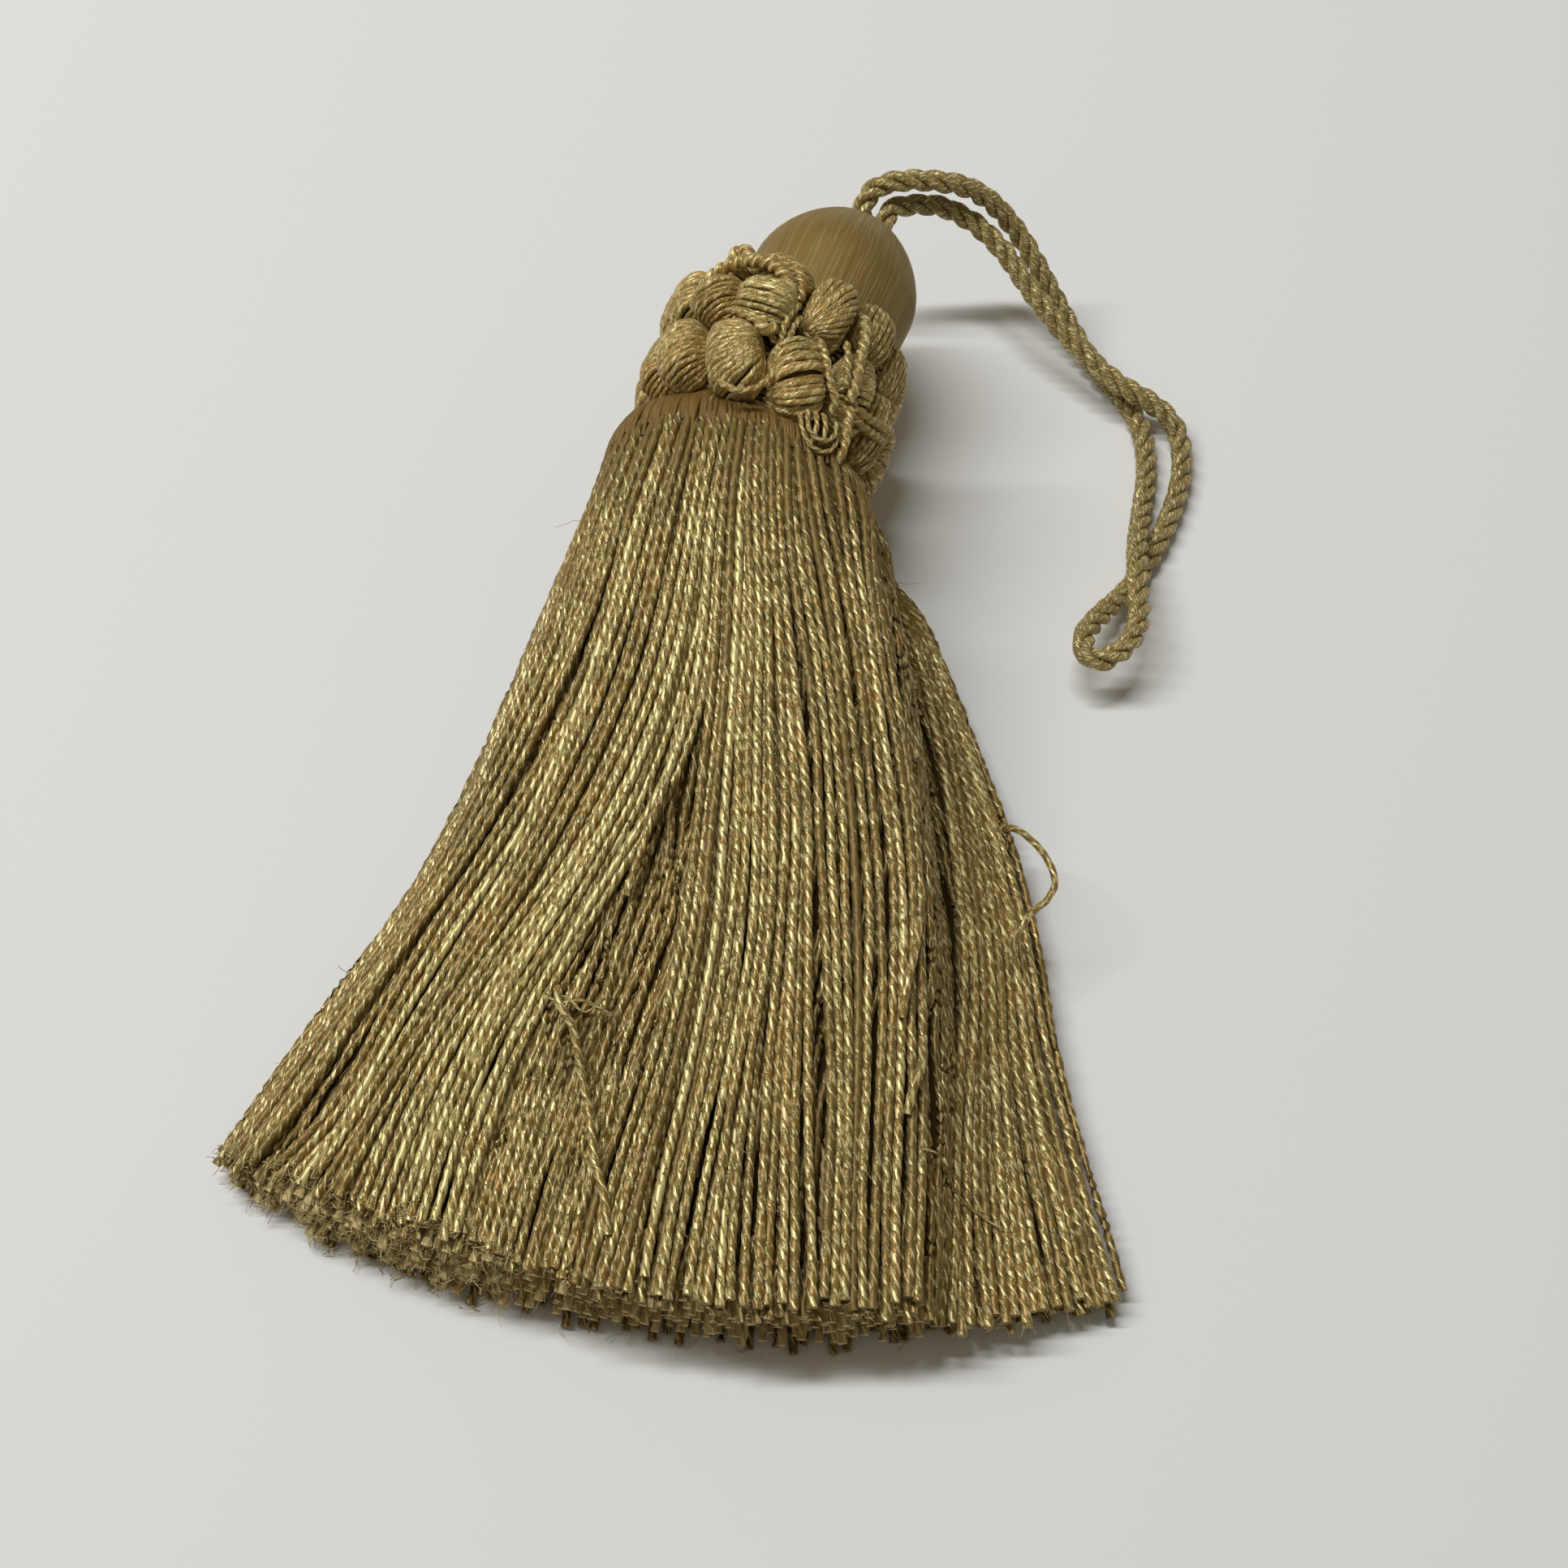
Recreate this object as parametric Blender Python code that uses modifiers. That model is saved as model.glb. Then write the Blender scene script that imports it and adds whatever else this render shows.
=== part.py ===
"""Silk tassel lying on its side, with a hanging loop.

A satin-wrapped head carries a ruff of thread-wound lobes. The skirt of twisted yarn fans out
below it, round at the neck and flat at the cut end, and a plied loop cord leaves the head's tip.
The cut end points along -Y and the head along +Y. The surface that it lies on is z = 0.
"""

import math

import bmesh
import bpy
from mathutils import Matrix, Vector

MM = 0.001

# Head: a turned core under satin thread. Distances along it start where its axis meets the ruff.
HEAD_BASE = Vector((7.0, 26.0, 12.4)) * MM
HEAD_YAW = math.radians(22.0)
HEAD_RISE = 0.07
HEAD_FOOT = -2.7 * MM
HEAD_TIP = 26.1 * MM
HEAD_FOOT_RADIUS = 7.6 * MM
HEAD_WAIST = 12.6 * MM
HEAD_DOME_RADIUS = 7.75 * MM
DOME_START = 17.8 * MM
DOME_FULLNESS = 1.69
DOME_RINGS = 8
HEAD_SIDES = 32

# Ruff: wound lobes in two rows. Those on top have their own rows, and the hidden ones follow one
# rule and are flatter at the head's sides.
LOBE_SEGMENTS = 10
LOBE_RINGS = 7
LOBE_FULLNESS = 2.8
LOBE_COLUMNS = ("along", "around", "out", "half_length", "half_width", "half_depth", "lean")
LOBES_ON_TOP = (
    # lower row, left to right
    (2.5, -86.5, 10.0, 3.7, 1.9, 1.85, 6.0),
    (1.8, -62.0, 10.05, 3.5, 1.8, 2.0, 12.0),
    (0.9, -37.5, 10.7, 3.2, 1.95, 2.4, 18.0),
    (0.6, -10.0, 10.8, 3.45, 2.25, 2.4, 24.0),
    (0.75, 18.5, 10.8, 3.45, 2.15, 2.4, 26.0),
    (3.0, 46.0, 9.9, 3.7, 1.85, 1.8, 8.0),
    # upper row, left to right
    (9.7, -84.0, 10.4, 2.9, 2.3, 2.3, 0.0),
    (8.2, -57.0, 10.4, 2.7, 2.1, 2.2, 8.0),
    (6.4, -30.5, 11.0, 2.15, 2.1, 2.2, 0.0),
    (10.2, -31.5, 10.1, 1.3, 1.8, 1.6, 0.0),
    (6.1, -6.0, 11.9, 2.0, 2.4, 2.0, 0.0),
    (9.85, -6.3, 10.3, 1.3, 2.4, 1.9, 0.0),
    (8.3, 19.5, 10.2, 3.2, 1.92, 2.2, 0.0),
    (9.9, 45.2, 9.25, 2.4, 2.15, 1.3, 0.0),
)
LOW_ROW = {"along": 2.5, "out": 10.3, "half_length": 3.7, "half_width": 2.02, "half_depth": 2.2}
LOW_ROW_FLATTER = 0.8
LOW_ROW_FIRST, LOW_ROW_LAST, LOW_ROW_COUNT = 71.0, 248.5, 8
HIGH_ROW = {"along": 9.2, "out": 9.9, "half_length": 2.6, "half_width": 2.2, "half_depth": 1.95}
HIGH_ROW_FLATTER = 1.05
HIGH_ROW_FIRST, HIGH_ROW_LAST, HIGH_ROW_COUNT = 74.0, 246.0, 7

# Skirt: sections from the neck to the cut end, in millimetres.
SKIRT_COLUMNS = (
    "reach",
    "left_x",
    "left_y",
    "right_x",
    "right_y",
    "bow",
    "crown",
    "left_rim",
    "right_rim",
    "sheaf_edge",
    "sheaf_rim",
    "layer",
    "underside",
    "roundness",
)
SKIRT_SECTIONS = (
    (0.0, -3.9, 26.55, 15.8, 18.55, 0.0, 21.9, 12.0, 12.0, 0.96, 13.0, 12.5, 2.0, 2.0),
    (0.03, -4.6, 25.05, 16.8, 17.85, 0.0, 23.0, 11.9, 11.6, 0.95, 13.2, 11.8, 0.9, 2.0),
    (0.1, -6.2, 20.25, 17.9, 15.05, 0.2, 22.8, 11.3, 8.0, 0.9, 14.6, 9.0, 0.0, 2.2),
    (0.2, -9.1, 14.05, 20.0, 11.35, 0.8, 21.6, 10.0, 3.6, 0.79, 14.4, 6.0, 0.0, 2.6),
    (0.35, -13.3, 4.05, 23.6, 2.25, 1.9, 19.0, 8.3, 2.4, 0.745, 13.0, 5.2, 0.0, 3.2),
    (0.5, -18.3, -6.75, 27.0, -7.75, 3.3, 16.5, 6.8, 2.2, 0.69, 12.0, 5.0, 0.0, 4.0),
    (0.65, -22.7, -16.05, 29.6, -17.55, 4.9, 14.4, 5.6, 2.0, 0.675, 11.0, 5.0, 0.0, 5.0),
    (0.8, -27.6, -25.15, 31.6, -27.75, 6.5, 12.6, 4.2, 1.9, 0.665, 10.0, 5.0, 0.0, 6.0),
    (0.92, -32.2, -31.95, 33.7, -38.15, 7.9, 11.2, 3.0, 1.6, 0.63, 9.2, 4.9, 0.0, 6.0),
    (1.0, -35.3, -36.25, 35.3, -45.75, 8.8, 10.4, 2.0, 1.4, 0.59, 8.7, 4.8, 0.0, 6.0),
)
SKIRT_STATIONS = (0.0, 0.03, 0.1, 0.2, 0.32, 0.44, 0.56, 0.68, 0.79, 0.88, 0.95, 1.0)
CREST = 0.12
SHEAF_STEP = 0.05
LOCKS = 22
POINTS_PER_LOCK = 3
GROOVE_AT_NECK = 0.2 * MM
GROOVE_AT_END = 0.9 * MM
TOOTH_DEPTH = 0.022
CUT_SLANT = 1.2 * MM
PRESSED_FLAT = 0.08

# Loop cord: its centreline from the tip and back, in millimetres.
CORD_DIAMETER = 2.1 * MM
CORD_POINTS = 78
CORD_BEVEL_RESOLUTION = 2
CORD_ROUTE = (
    (16.46, 51.52, 13.4),
    (16.73, 52.93, 14.2),
    (17.99, 53.94, 15.14),
    (20.82, 54.11, 15.81),
    (25.39, 54.38, 14.93),
    (28.5, 54.51, 12.67),
    (31.2, 53.58, 9.66),
    (33.09, 51.63, 7.47),
    (35.01, 49.38, 4.99),
    (37.29, 46.45, 2.44),
    (39.32, 43.56, 1.22),
    (41.91, 39.27, 1.08),
    (42.89, 35.76, 1.1),
    (42.88, 31.65, 1.09),
    (42.12, 27.32, 1.36),
    (41.08, 21.93, 2.94),
    (40.64, 16.85, 3.8),
    (40.31, 12.98, 4.38),
    (39.13, 10.31, 4.74),
    (36.99, 8.61, 4.9),
    (35.58, 9.05, 4.87),
    (35.38, 11.14, 4.42),
    (36.75, 13.79, 3.4),
    (39.56, 17.54, 1.65),
    (41.56, 20.52, 1.06),
    (43.89, 24.91, 1.08),
    (45.84, 30.22, 1.1),
    (46.33, 34.25, 1.19),
    (45.66, 36.78, 1.84),
    (43.75, 38.37, 2.88),
    (39.98, 40.17, 4.25),
    (36.04, 43.91, 5.61),
    (32.68, 47.47, 7.75),
    (30.6, 50.45, 8.96),
    (28.94, 52.25, 9.88),
    (26.62, 53.57, 11.19),
    (23.45, 54.02, 12.6),
    (19.75, 53.43, 13.0),
    (18.62, 51.89, 12.92),
    (18.63, 51.4, 12.2),
)

SILK_GOLD = (0.47, 0.36, 0.15, 1.0)
SILK_BROWN = (0.36, 0.26, 0.10, 1.0)


def clear_scene():
    """Removes the objects that a new scene starts with."""
    for obj in list(bpy.data.objects):
        bpy.data.objects.remove(obj, do_unlink=True)


def make_collection(name):
    """A collection linked to the scene."""
    collection = bpy.data.collections.new(name)
    bpy.context.scene.collection.children.link(collection)
    return collection


def silk(name, colour, roughness):
    """A material for silk thread."""
    material = bpy.data.materials.new(name)
    material.use_nodes = True
    shader = material.node_tree.nodes["Principled BSDF"]
    shader.inputs["Base Color"].default_value = colour
    shader.inputs["Roughness"].default_value = roughness
    shader.inputs["Metallic"].default_value = 0.0
    return material


def mesh_object(name, builder, collection, material):
    """An object from a bmesh, smooth shaded."""
    mesh = bpy.data.meshes.new(name)
    builder.to_mesh(mesh)
    builder.free()
    mesh.shade_smooth()
    mesh.materials.append(material)
    obj = bpy.data.objects.new(name, mesh)
    collection.objects.link(obj)
    return obj


def head_frame():
    """The head's frame: X to its left, Y up from the surface, Z along its axis to the tip."""
    axis = Vector((math.sin(HEAD_YAW), math.cos(HEAD_YAW), HEAD_RISE)).normalized()
    left = Vector((-math.cos(HEAD_YAW), math.sin(HEAD_YAW), 0.0))
    up = axis.cross(left)
    return Matrix((left, up, axis)).transposed().to_4x4()


def head_profile():
    """Half outline of the head from the tip down to its foot, as distances from and along the axis."""
    points = []
    dome_height = HEAD_TIP - DOME_START
    for ring in range(DOME_RINGS + 1):
        turn = ring / DOME_RINGS * math.pi / 2
        radius = HEAD_DOME_RADIUS * max(0.0, math.sin(turn)) ** (2.0 / DOME_FULLNESS)
        rise = dome_height * max(0.0, math.cos(turn)) ** (2.0 / DOME_FULLNESS)
        points.append((radius, DOME_START + rise))
    points.append((HEAD_FOOT_RADIUS, HEAD_WAIST))
    points.append((HEAD_FOOT_RADIUS, HEAD_FOOT))
    points.append((0.0, HEAD_FOOT))
    return points


def make_head(collection, material):
    """The head, turned by a Screw modifier and laid along its axis."""
    builder = bmesh.new()
    corners = [builder.verts.new((radius, 0.0, along)) for radius, along in head_profile()]
    for upper, lower in zip(corners, corners[1:]):
        builder.edges.new((upper, lower))
    head = mesh_object("head", builder, collection, material)
    screw = head.modifiers.new("turn", "SCREW")
    screw.axis = "Z"
    screw.steps = HEAD_SIDES
    screw.render_steps = HEAD_SIDES
    screw.use_merge_vertices = True
    screw.merge_threshold = 0.00001
    head.matrix_world = Matrix.Translation(HEAD_BASE) @ head_frame()
    return head


def lobe_rows():
    """Every lobe of the ruff: those on top as listed, then the hidden ones of each row by its rule."""
    rows = [dict(zip(LOBE_COLUMNS, row)) for row in LOBES_ON_TOP]
    hidden = (
        (LOW_ROW, LOW_ROW_FLATTER, LOW_ROW_FIRST, LOW_ROW_LAST, LOW_ROW_COUNT),
        (HIGH_ROW, HIGH_ROW_FLATTER, HIGH_ROW_FIRST, HIGH_ROW_LAST, HIGH_ROW_COUNT),
    )
    for rule, most, first, last, count in hidden:
        for index in range(count):
            around = first + (last - first) * index / (count - 1)
            flatter = most * abs(math.sin(math.radians(around)))
            row = {**rule, "around": around, "lean": 0.0}
            row["out"] -= flatter
            row["half_width"] *= row["out"] / rule["out"]
            row["half_depth"] -= flatter
            rows.append(row)
    return rows


def make_lobe(index, row, collection, material):
    """One wound lobe: a full ellipsoid on the head's side, flat where it meets the surface."""
    around = math.radians(row["around"])
    place = (
        Matrix.Translation(HEAD_BASE)
        @ head_frame()
        @ Matrix.Rotation(around, 4, "Z")
        @ Matrix.Translation((0.0, row["out"] * MM, row["along"] * MM))
        @ Matrix.Rotation(math.radians(row["lean"]), 4, "Y")
    )
    sizes = Matrix.Diagonal((row["half_width"] * MM, row["half_depth"] * MM, row["half_length"] * MM, 1.0))
    builder = bmesh.new()
    bmesh.ops.create_uvsphere(builder, u_segments=LOBE_SEGMENTS, v_segments=LOBE_RINGS, radius=1.0)
    for vertex in builder.verts:
        fullness = sum(abs(value) ** LOBE_FULLNESS for value in vertex.co) ** (1.0 / LOBE_FULLNESS)
        vertex.co /= fullness
    bmesh.ops.transform(builder, matrix=place @ sizes, verts=builder.verts)
    for vertex in builder.verts:
        vertex.co.z = max(vertex.co.z, 0.0)
    return mesh_object(f"ruff_lobe_{index:02d}", builder, collection, material)


def skirt_section(reach):
    """The skirt's section at a share of its length, each column on a smooth curve through its rows."""
    rows = SKIRT_SECTIONS
    index = 0
    while index < len(rows) - 2 and reach > rows[index + 1][0]:
        index += 1
    start, end = rows[index], rows[index + 1]
    before = rows[max(index - 1, 0)]
    after = rows[min(index + 2, len(rows) - 1)]
    span = end[0] - start[0]
    share = (reach - start[0]) / span
    section = {}
    for column, name in enumerate(SKIRT_COLUMNS):
        leave = (end[column] - before[column]) / (end[0] - before[0]) * span
        arrive = (after[column] - start[column]) / (after[0] - start[0]) * span
        section[name] = (
            start[column] * (2 * share**3 - 3 * share**2 + 1)
            + leave * (share**3 - 2 * share**2 + share)
            + end[column] * (3 * share**2 - 2 * share**3)
            + arrive * (share**3 - share**2)
        )
    return section


def top_height(section, across):
    """Height of the skirt's top at a place across it, from -1 at the left to 1 at the right."""
    edge = section["sheaf_edge"]
    if across <= CREST:
        share = (CREST - across) / (CREST + 1.0)
        low = section["left_rim"]
        return low + (section["crown"] - low) * math.sqrt(max(0.0, 1.0 - share**2.4))
    if across <= edge:
        share = (across - CREST) / (edge - CREST)
        low = section["sheaf_rim"]
        return low + (section["crown"] - low) * math.sqrt(max(0.0, 1.0 - share**2.2))
    layer_end = section["right_rim"]
    share = (across - edge) / (1.0 - edge)
    layer = layer_end + (section["layer"] - layer_end) * math.sqrt(max(0.0, 1.0 - share**2))
    drop = max(0.0, 1.0 - (across - edge) / SHEAF_STEP)
    return layer + (section["sheaf_rim"] - layer) * drop


def bottom_height(section, across):
    """Height of the skirt's underside in millimetres: round at the neck, flat where it lies."""
    rim = section["left_rim"] if across < 0 else section["right_rim"]
    power = section["roundness"]
    height = rim - (rim - section["underside"]) * (1.0 - abs(across) ** power) ** (1.0 / power)
    return max(0.0, height - PRESSED_FLAT)


def skirt_point(reach, across, top, groove):
    """A point on the skirt's skin; groove is 1 in the valley between two locks and 0 on a lock."""
    section = skirt_section(reach)
    left = Vector((section["left_x"], section["left_y"], 0.0))
    right = Vector((section["right_x"], section["right_y"], 0.0))
    chord = right - left
    forward = Vector((chord.y, -chord.x, 0.0)).normalized()
    place = left + chord * (across + 1.0) / 2.0 + forward * section["bow"] * (1.0 - across**2)
    place *= MM
    if not top:
        place.z = bottom_height(section, across) * MM
        return place
    height = top_height(section, across) * MM
    slant = CUT_SLANT * reach * height / (section["crown"] * MM)
    depth = groove * (GROOVE_AT_NECK + (GROOVE_AT_END - GROOVE_AT_NECK) * reach)
    floor = bottom_height(section, across) * MM
    place -= forward * slant
    place.z = max(height - depth, floor + (height - floor) * 0.4)
    return place


def make_skirt(collection, material):
    """The skirt: a loft of its sections, its locks parted by grooves and cut off as a comb of teeth."""
    steps = LOCKS * POINTS_PER_LOCK
    builder = bmesh.new()
    rings = []
    for reach in SKIRT_STATIONS:
        upper, lower = [], []
        for step in range(steps + 1):
            across = -1.0 + 2.0 * step / steps
            valley = step % POINTS_PER_LOCK == 0 and 0 < step < steps
            groove = 1.0 if valley else 0.0
            place = reach - TOOTH_DEPTH if valley and reach == 1.0 else reach
            upper.append(builder.verts.new(skirt_point(place, across, True, groove)))
            inside = 0 < step < steps
            lower.append(builder.verts.new(skirt_point(place, across, False, groove)) if inside else upper[-1])
        rings.append((upper, lower))
    for (upper_a, lower_a), (upper_b, lower_b) in zip(rings, rings[1:]):
        for step in range(steps):
            builder.faces.new((upper_a[step], upper_b[step], upper_b[step + 1], upper_a[step + 1]))
            builder.faces.new((lower_a[step + 1], lower_b[step + 1], lower_b[step], lower_a[step]))
    for upper, lower in (rings[0], rings[-1]):
        for step in range(steps):
            corners = [upper[step], upper[step + 1], lower[step + 1], lower[step]]
            builder.faces.new(list(dict.fromkeys(corners)))
    bmesh.ops.recalc_face_normals(builder, faces=builder.faces)
    bmesh.ops.triangulate(builder, faces=builder.faces)
    return mesh_object("skirt", builder, collection, material)


def smooth_route(points, count):
    """Evenly spaced points on the smooth curve through a route's own points."""
    fine = []
    parts = 12
    for index in range(len(points) - 1):
        before = points[max(index - 1, 0)]
        start, end = points[index], points[index + 1]
        after = points[min(index + 2, len(points) - 1)]
        for part in range(parts):
            share = part / parts
            fine.append(
                0.5
                * (
                    2 * start
                    + (end - before) * share
                    + (2 * before - 5 * start + 4 * end - after) * share**2
                    + (3 * start - before - 3 * end + after) * share**3
                )
            )
    fine.append(points[-1])
    lengths = [0.0]
    for start, end in zip(fine, fine[1:]):
        lengths.append(lengths[-1] + (end - start).length)
    spaced = []
    index = 0
    for number in range(count):
        target = lengths[-1] * number / (count - 1)
        while index < len(fine) - 2 and lengths[index + 1] < target:
            index += 1
        share = (target - lengths[index]) / (lengths[index + 1] - lengths[index])
        spaced.append(fine[index].lerp(fine[index + 1], share))
    return spaced


def make_cord(collection, material):
    """The loop cord as one tube, out of the tip, round the eye and back to the tip."""
    points = smooth_route([Vector(point) * MM for point in CORD_ROUTE], CORD_POINTS)
    curve = bpy.data.curves.new("loop_cord", "CURVE")
    curve.dimensions = "3D"
    curve.bevel_depth = CORD_DIAMETER / 2
    curve.bevel_resolution = CORD_BEVEL_RESOLUTION
    curve.use_fill_caps = True
    spline = curve.splines.new("POLY")
    spline.points.add(len(points) - 1)
    for target, point in zip(spline.points, points):
        target.co = (*point, 1.0)
    curve.materials.append(material)
    cord = bpy.data.objects.new("loop_cord", curve)
    collection.objects.link(cord)
    return cord


def build_tassel():
    """Builds every piece of the tassel."""
    clear_scene()
    tassel = make_collection("silk_tassel")
    make_head(tassel, silk("silk_satin_wrap", SILK_BROWN, 0.4))
    for index, row in enumerate(lobe_rows(), start=1):
        make_lobe(index, row, tassel, silk(f"silk_wound_{index:02d}", SILK_GOLD, 0.45))
    make_skirt(tassel, silk("silk_yarn", SILK_GOLD, 0.45))
    make_cord(tassel, silk("silk_cord", SILK_GOLD, 0.5))


build_tassel()
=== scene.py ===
"""Silk tassel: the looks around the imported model.

Every thread is laid as a path, and one Geometry Nodes tree spins the paths into plied yarn. The
skirt's strands follow locks on the skirt's own sections, the ruff's lobes are wound with thread,
and the head has a satin wrap. Lengths in the tables are millimetres; the scene is in metres.
"""

import logging
import math
from dataclasses import dataclass, field, replace
from enum import Enum

import bmesh
import bpy
import numpy as np
from mathutils import Matrix, Vector


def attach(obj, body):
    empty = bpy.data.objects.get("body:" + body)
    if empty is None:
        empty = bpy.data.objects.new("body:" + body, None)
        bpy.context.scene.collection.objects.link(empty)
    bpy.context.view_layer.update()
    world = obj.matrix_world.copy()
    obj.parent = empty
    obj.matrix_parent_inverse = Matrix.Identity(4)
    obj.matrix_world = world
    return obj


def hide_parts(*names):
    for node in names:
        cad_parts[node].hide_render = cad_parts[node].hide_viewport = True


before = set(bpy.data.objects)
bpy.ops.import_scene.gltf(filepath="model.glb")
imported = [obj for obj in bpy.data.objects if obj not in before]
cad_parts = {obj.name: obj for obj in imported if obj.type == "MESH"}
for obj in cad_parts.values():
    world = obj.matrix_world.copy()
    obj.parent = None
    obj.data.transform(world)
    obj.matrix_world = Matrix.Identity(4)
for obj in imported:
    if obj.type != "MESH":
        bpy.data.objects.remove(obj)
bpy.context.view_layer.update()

LOG = logging.getLogger("silk_tassel")
MM = 0.001
BODY = "root"

# The head's axis: where it meets the ruff, its turn to the right of +Y, and its rise.
HEAD_BASE = (7.0, 26.0, 12.4)
HEAD_YAW = math.radians(22.0)
HEAD_RISE = 0.07

LOBE_FULLNESS = 2.8
WINDING_RADIUS = 0.3
WINDING_INSET = 0.27
# How far the windings stand out over the solid lobes, so that neighbours touch.
LOBE_PROUD = 0.2
# The turns of a lobe hinge about a line this share of its depth below its middle.
HINGE_DEPTH = 0.8
# The skirt's yarn is held by the ruff over its first millimetres, where it is painted darker, partly pressed
# yarn and partly painted shade of the ruff, and fades into the open yarn.
HELD_LENGTH = 18.0
HELD_FADE = 10.0
# No fibre goes lower than this over the surface.
FIBRE_FLOOR = 0.05


class Slot(Enum):
    """Material slots of the record."""

    WRAP = "silk_satin_wrap"
    YARN = "silk_yarn"
    CORD = "silk_cord"
    WOUND = "silk_wound"


def linear(hex_colour: str) -> tuple[float, float, float, float]:
    """Turns an sRGB hex colour into linear light.

    Args:
        hex_colour: Six hex digits, with or without a leading hash.

    Returns:
        Red, green, blue and alpha.
    """
    digits = hex_colour.lstrip("#")
    values = [int(digits[at : at + 2], 16) / 255 for at in (0, 2, 4)]
    light = [v / 12.92 if v <= 0.04045 else ((v + 0.055) / 1.055) ** 2.4 for v in values]
    return (*light, 1.0)


def add_node(tree: bpy.types.NodeTree, kind: str, inputs: dict | None = None, **settings) -> bpy.types.Node:
    """Adds one node with its settings, values and links.

    Args:
        tree: The tree that the node goes into.
        kind: The node's type.
        inputs: Value or output socket for each input, by name or number.
        **settings: Properties of the node.

    Returns:
        The new node.
    """
    node = tree.nodes.new(kind)
    for name, value in settings.items():
        setattr(node, name, value)
    for key, value in (inputs or {}).items():
        if isinstance(value, bpy.types.NodeSocket):
            tree.links.new(value, node.inputs[key])
        else:
            node.inputs[key].default_value = value
    return node


def maths(tree: bpy.types.NodeTree, operation: str, *values, clamp: bool = False) -> bpy.types.NodeSocket:
    """Adds one sum to a tree.

    Args:
        tree: The tree.
        operation: What is done with the values.
        *values: Numbers or output sockets, in the node's order.
        clamp: Whether the result is held between 0 and 1.

    Returns:
        The result.
    """
    inputs = dict(enumerate(values))
    return add_node(tree, "ShaderNodeMath", inputs, operation=operation, use_clamp=clamp).outputs[0]


def ranged(
    tree: bpy.types.NodeTree,
    value: bpy.types.NodeSocket,
    source: tuple,
    target: tuple = (0.0, 1.0),
    smooth: bool = False,
) -> bpy.types.NodeSocket:
    """Adds a node that maps a value from one range to another.

    Args:
        tree: The tree.
        value: The value.
        source: The range it comes from.
        target: The range it goes to.
        smooth: Whether it eases in and out at the ends.

    Returns:
        The mapped value.
    """
    inputs = {"Value": value}
    inputs |= dict(zip(("From Min", "From Max", "To Min", "To Max"), (*source, *target)))
    kind = "SMOOTHSTEP" if smooth else "LINEAR"
    return add_node(tree, "ShaderNodeMapRange", inputs, interpolation_type=kind).outputs[0]


def blended(tree: bpy.types.NodeTree, share: bpy.types.NodeSocket, low, high) -> bpy.types.NodeSocket:
    """Adds a node that blends two colours.

    Args:
        tree: The tree.
        share: How much of the second colour.
        low: The first colour, or a socket that gives it.
        high: The second colour, or a socket that gives it.

    Returns:
        The blended colour.
    """
    return add_node(tree, "ShaderNodeMix", {0: share, 6: low, 7: high}, data_type="RGBA").outputs[2]


def stored(tree: bpy.types.NodeTree, name: str, output: str = "Fac") -> bpy.types.NodeSocket:
    """Adds a node that reads one of the mesh's own attributes in a material."""
    return add_node(tree, "ShaderNodeAttribute", attribute_name=name).outputs[output]


def store_numbers(mesh: bpy.types.Mesh, numbers: dict[str, np.ndarray]) -> None:
    """Writes numbers on a mesh's points, one attribute for each name."""
    for label, values in numbers.items():
        layer = mesh.attributes.new(label, "FLOAT", "POINT")
        layer.data.foreach_set("value", values.astype(np.float32))


def linked(name: str, mesh: bpy.types.Mesh) -> bpy.types.Object:
    """Makes an object of a mesh and links it to the scene."""
    piece = bpy.data.objects.new(name, mesh)
    bpy.context.scene.collection.objects.link(piece)
    return piece


def hermite_rows(stations: np.ndarray, rows: np.ndarray, at: np.ndarray) -> np.ndarray:
    """Smooth curves through the rows of a table.

    Args:
        stations: Place of each row.
        rows: The table, one row for each station.
        at: Places to read it at.

    Returns:
        One row for each place.
    """
    index = np.clip(np.searchsorted(stations, at, side="left") - 1, 0, len(stations) - 2)
    before, after = np.maximum(index - 1, 0), np.minimum(index + 2, len(stations) - 1)
    span = (stations[index + 1] - stations[index])[:, None]
    share = ((at - stations[index]) / span[:, 0])[:, None]
    start, end = rows[index], rows[index + 1]
    leave = (end - rows[before]) / (stations[index + 1] - stations[before])[:, None] * span
    arrive = (rows[after] - start) / (stations[after] - stations[index])[:, None] * span
    return (
        start * (2 * share**3 - 3 * share**2 + 1)
        + leave * (share**3 - 2 * share**2 + share)
        + end * (3 * share**2 - 2 * share**3)
        + arrive * (share**3 - share**2)
    )


def unit(way: np.ndarray) -> np.ndarray:
    """A direction of length 1."""
    return way / np.linalg.norm(way)


def run_along(line: np.ndarray) -> np.ndarray:
    """Distance along a line at each of its points."""
    return np.concatenate(([0.0], np.cumsum(np.linalg.norm(np.diff(line, axis=0), axis=1))))


def read_line(line: np.ndarray, at: np.ndarray | float, places: np.ndarray) -> np.ndarray:
    """Points of a line at the given places, where its own points are at known places."""
    return np.stack([np.interp(at, places, line[:, axis]) for axis in range(3)], axis=-1)


def head_frame() -> Matrix:
    """The head's frame in metres: X to its left, Y up from the surface, Z along its axis to the tip."""
    axis = Vector((math.sin(HEAD_YAW), math.cos(HEAD_YAW), HEAD_RISE)).normalized()
    left = Vector((-math.cos(HEAD_YAW), math.sin(HEAD_YAW), 0.0))
    turned = Matrix((left, axis.cross(left), axis)).transposed().to_4x4()
    return Matrix.Translation(Vector(HEAD_BASE) * MM) @ turned


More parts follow.
